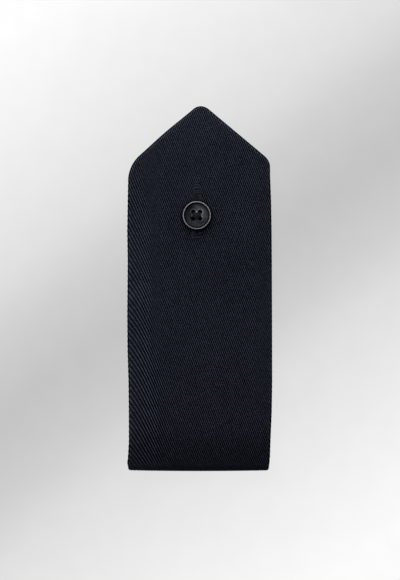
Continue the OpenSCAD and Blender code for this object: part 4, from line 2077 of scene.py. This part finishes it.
@dataclass(frozen=True)
class ButtonThread:
    """The thread that holds the button: crosses on its pad and behind the strap, a wound shank."""

    button: Button
    form: StrapForm
    mark: Fastening
    # The cross on the button's pad, and the one on the back of the under strap
    above: Cross = Cross(1.4 * MM, drop=1.2 * MM, radius=0.14 * MM, hump=0.3 * MM)
    behind: Cross = Cross(1.7 * MM, drop=0.6 * MM, radius=0.13 * MM, hump=0.2 * MM, facing=Facing.DOWN)
    clearance: float = 0.02 * MM
    strands: int = 4
    strand_points: int = 41
    strand_sides: int = 10
    # Ply of the strands: their number, depth of their grooves, turns in radians for each metre
    ply: tuple[int, float, float] = (3, 0.13, 2 * math.pi / (1.3 * MM))
    # A bundle: power of its rounded ends, spacing of its strands in radii, how far they gather at the
    # ends, how wide its hump is and how far its two middle strands stand proud
    end_power: float = 3.4
    strand_spacing: float = 1.75
    gather: float = 0.25
    hump_width: float = 0.75 * MM
    middle_lift: float = 0.05 * MM
    # The shank's coil: its radius, its sink in the under strap and its gap under the button
    coil_r: float = 0.68 * MM
    coil_sink: float = 0.3 * MM
    coil_gap: float = 0.2 * MM
    coil_points: int = 360
    coil_sides: int = 8
    # The shank's core: height of its foot, then in columns its radius and its depth below the button
    core_foot: float = 0.25 * MM
    core: Table = ((0.6 * MM, 0.35 * MM), (2.1 * MM, 0.22 * MM), (2.3 * MM, 0.05 * MM))
    core_sides: int = 32

    def strands_of(self, cross: Cross, top: float) -> Shell:
        """Makes a cross.

        Each strand follows half of a rounded rectangle: its place across is reach times a power of the
        cosine, its height a power of the sine. The second bundle has a bell-shaped hump over the first.

        Args:
            cross: The cross's sizes.
            top: Height of the strands' centres.

        Returns:
            The strands as one shell.
        """
        angle = np.linspace(0, math.pi, self.strand_points)
        power = 2 / self.end_power
        across = -cross.reach * np.sign(np.cos(angle)) * np.abs(np.cos(angle)) ** power
        height = cross.drop * (np.sin(angle) ** power - 1)
        gathered = 1 - self.gather + self.gather * np.cos(across / cross.reach * QUARTER)
        hump = cross.hump * np.exp(-((across / self.hump_width) ** 2))
        numbers = np.arange(self.strands) - (self.strands - 1) / 2
        paths = []
        for bundle, heading in enumerate(np.radians([45, 135])):
            forward = np.array([math.cos(heading), math.sin(heading)])
            sideways = np.array([-forward[1], forward[0]])
            for number in numbers:
                offset = number * self.strand_spacing * cross.radius * gathered
                lift = bundle * hump + self.middle_lift * (abs(number) < 1)
                flat = forward * across[:, None] + sideways * offset[:, None]
                paths.append(np.column_stack([flat, top + cross.facing.value * (height + lift)]))
        lines = np.array(paths) + self.mark.centre
        return tubes(lines, cross.radius, self.strand_sides, UPWARDS + NUDGE, self.ply)

    def shank(self) -> Shell:
        """Makes the shank: a core, and the thread wound round it from the button to the under strap.

        The coil is a helix, whose turns lie a strand's thickness apart.

        Returns:
            The coil and the core as one shell.
        """
        centre = self.mark.centre
        low, high = self.form.cloth - self.coil_sink, self.button.base_z - self.coil_gap
        share = np.linspace(0, 1, self.coil_points)
        angle = 2 * math.pi * share * (high - low) / (2 * self.above.radius)
        flat = self.coil_r * np.stack([np.cos(angle), np.sin(angle)], 1)
        line = np.column_stack([flat, low + (high - low) * share]) + centre
        coil = tubes(line[None], self.above.radius, self.coil_sides, UPWARDS)
        upper = [[radius, self.button.base_z - below] for radius, below in self.core]
        profile = [[0, self.core_foot], [upper[0][0], self.core_foot], *upper, [0, upper[-1][1]]]
        return Shell.joined([coil, revolved(np.array(profile), self.core_sides, centre)])

    def build(self, effects: Effects) -> Object:
        """Makes the thread and dresses it.

        Args:
            effects: The shared node groups.

        Returns:
            The finished piece.
        """
        pad_z = self.button.base_z + self.button.pad_height
        shells = [
            self.strands_of(self.above, pad_z + self.above.radius + self.clearance),
            self.shank(),
            self.strands_of(self.behind, self.mark.dimple_depth - self.behind.radius),
        ]
        made = Shell.joined(shells).to_object("button_thread_strands")
        finish = ThreadFinish("button_thread", dye=colour(0.0112, 0.0124, 0.0164))
        return dress(made, finish.material(effects))


@dataclass(frozen=True)
class Lamp:
    """A soft light, a rectangle that faces the origin, with its power in watts."""

    name: str
    place: Triple
    size: Pair
    power: float

    def build(self) -> None:
        """Adds the light, which isn't itself seen."""
        light = bpy.data.lights.new(self.name, "AREA")
        light.shape = "RECTANGLE"
        light.size, light.size_y = self.size
        light.energy = self.power
        made = bpy.data.objects.new(self.name, light)
        made.location = self.place
        made.rotation_euler = made.location.to_track_quat("Z", "Y").to_euler()
        made.visible_camera = False
        bpy.context.scene.collection.objects.link(made)


@dataclass(frozen=True)
class Studio:
    """A pale floor, soft lights and a camera straight above the face."""

    floor_half: float = 2.0
    floor_gap: float = 0.02 * MM
    pixel: float = 0.3992 * MM
    frame_pixels: tuple[int, int] = (400, 580)
    aim: Pair = (0.18 * MM, -0.56 * MM)
    aim_z: float = 5 * MM
    lens: float = 180.0
    sensor: float = 36.0
    clip: Pair = (0.01, 10.0)
    horizon_level: float = 0.9
    sky_level: float = 0.16
    # Heights of a direction, as the sine of its elevation, between which the band along the horizon fades
    fade: Pair = (0.04, 0.16)
    lamps: tuple[Lamp, ...] = (
        Lamp("window", (-0.04, 0.24, 0.32), (0.45, 0.30), 2.28),
        Lamp("left_card", (-0.20, 0.0, 0.08), (0.30, 0.14), 0.23),
    )

    def floor(self) -> None:
        """Lays the floor just under the strap."""
        corners = np.array([(-1, -1, 0), (1, -1, 0), (1, 1, 0), (-1, 1, 0)]) * self.floor_half
        shell = Shell(corners - self.floor_gap * UPWARDS, np.array([[0, 1, 2], [0, 2, 3]]))
        dress(shell.to_object("floor"), FloorFinish().material())

    def sky(self) -> None:
        """Lights the studio softly: a dim even sky with a pale band along the horizon."""
        world = bpy.data.worlds.new("studio")
        world.use_nodes = True
        graph = Graph(world.node_tree)
        height = graph.split(graph.node("TexCoord").outputs["Generated"])[2]
        level = graph.remap(height, *self.fade, (self.horizon_level, self.sky_level))
        graph.feed(world.node_tree.nodes["Background"], {0: colour(1.0, 1.0, 1.0), 1: level})
        bpy.context.scene.world = world

    def camera(self) -> None:
        """Adds the camera. Its distance gives the frame's longer side at the photograph's scale."""
        camera = bpy.data.cameras.new("camera")
        camera.lens, camera.sensor_width = self.lens, self.sensor
        camera.clip_start, camera.clip_end = self.clip
        away = self.pixel * max(self.frame_pixels) * self.lens / self.sensor
        made = bpy.data.objects.new("camera", camera)
        made.location = (*self.aim, self.aim_z + away)
        bpy.context.scene.collection.objects.link(made)
        bpy.context.scene.camera = made

    def build(self) -> None:
        """Makes the floor, the sky, the lamps and the camera."""
        self.floor()
        self.sky()
        for lamp in self.lamps:
            lamp.build()
        self.camera()
        bpy.context.scene.view_settings.view_transform = "Standard"


def settle(piece: Object, node: str) -> Object:
    """Puts a finished piece in its CAD node's place and reports it.

    Args:
        piece: The finished piece.
        node: The node that it stands for, which is hidden.

    Returns:
        The piece.
    """
    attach(piece, "root")
    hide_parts(node)
    piece.data.calc_loop_triangles()
    log.info("%s: %d triangles", piece.name, len(piece.data.loop_triangles))
    return piece


def main() -> None:
    """Builds the strap's pieces in order, then the studio."""
    logging.basicConfig(level=logging.INFO, format="%(message)s")
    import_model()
    form = StrapForm(foot_y=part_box("strap")[0].y)
    mark = Fastening(form.foot_y)
    effects = Effects(fibre_effect(), yarn_effect(), button_shade_effect())
    cloth = StrapCloth(form, Twill(), mark)
    strap = settle(cloth.build(effects), "strap")
    width, length, area = cloth.flat_area()
    settle(Buttonhole(form, mark).build(effects), "buttonhole_sewing")
    button = Button(form, mark)
    settle(button.build(), "button")
    settle(ButtonThread(button, form, mark).build(effects), "button_thread")
    Studio().build()


if __name__ == "__main__":
    main()
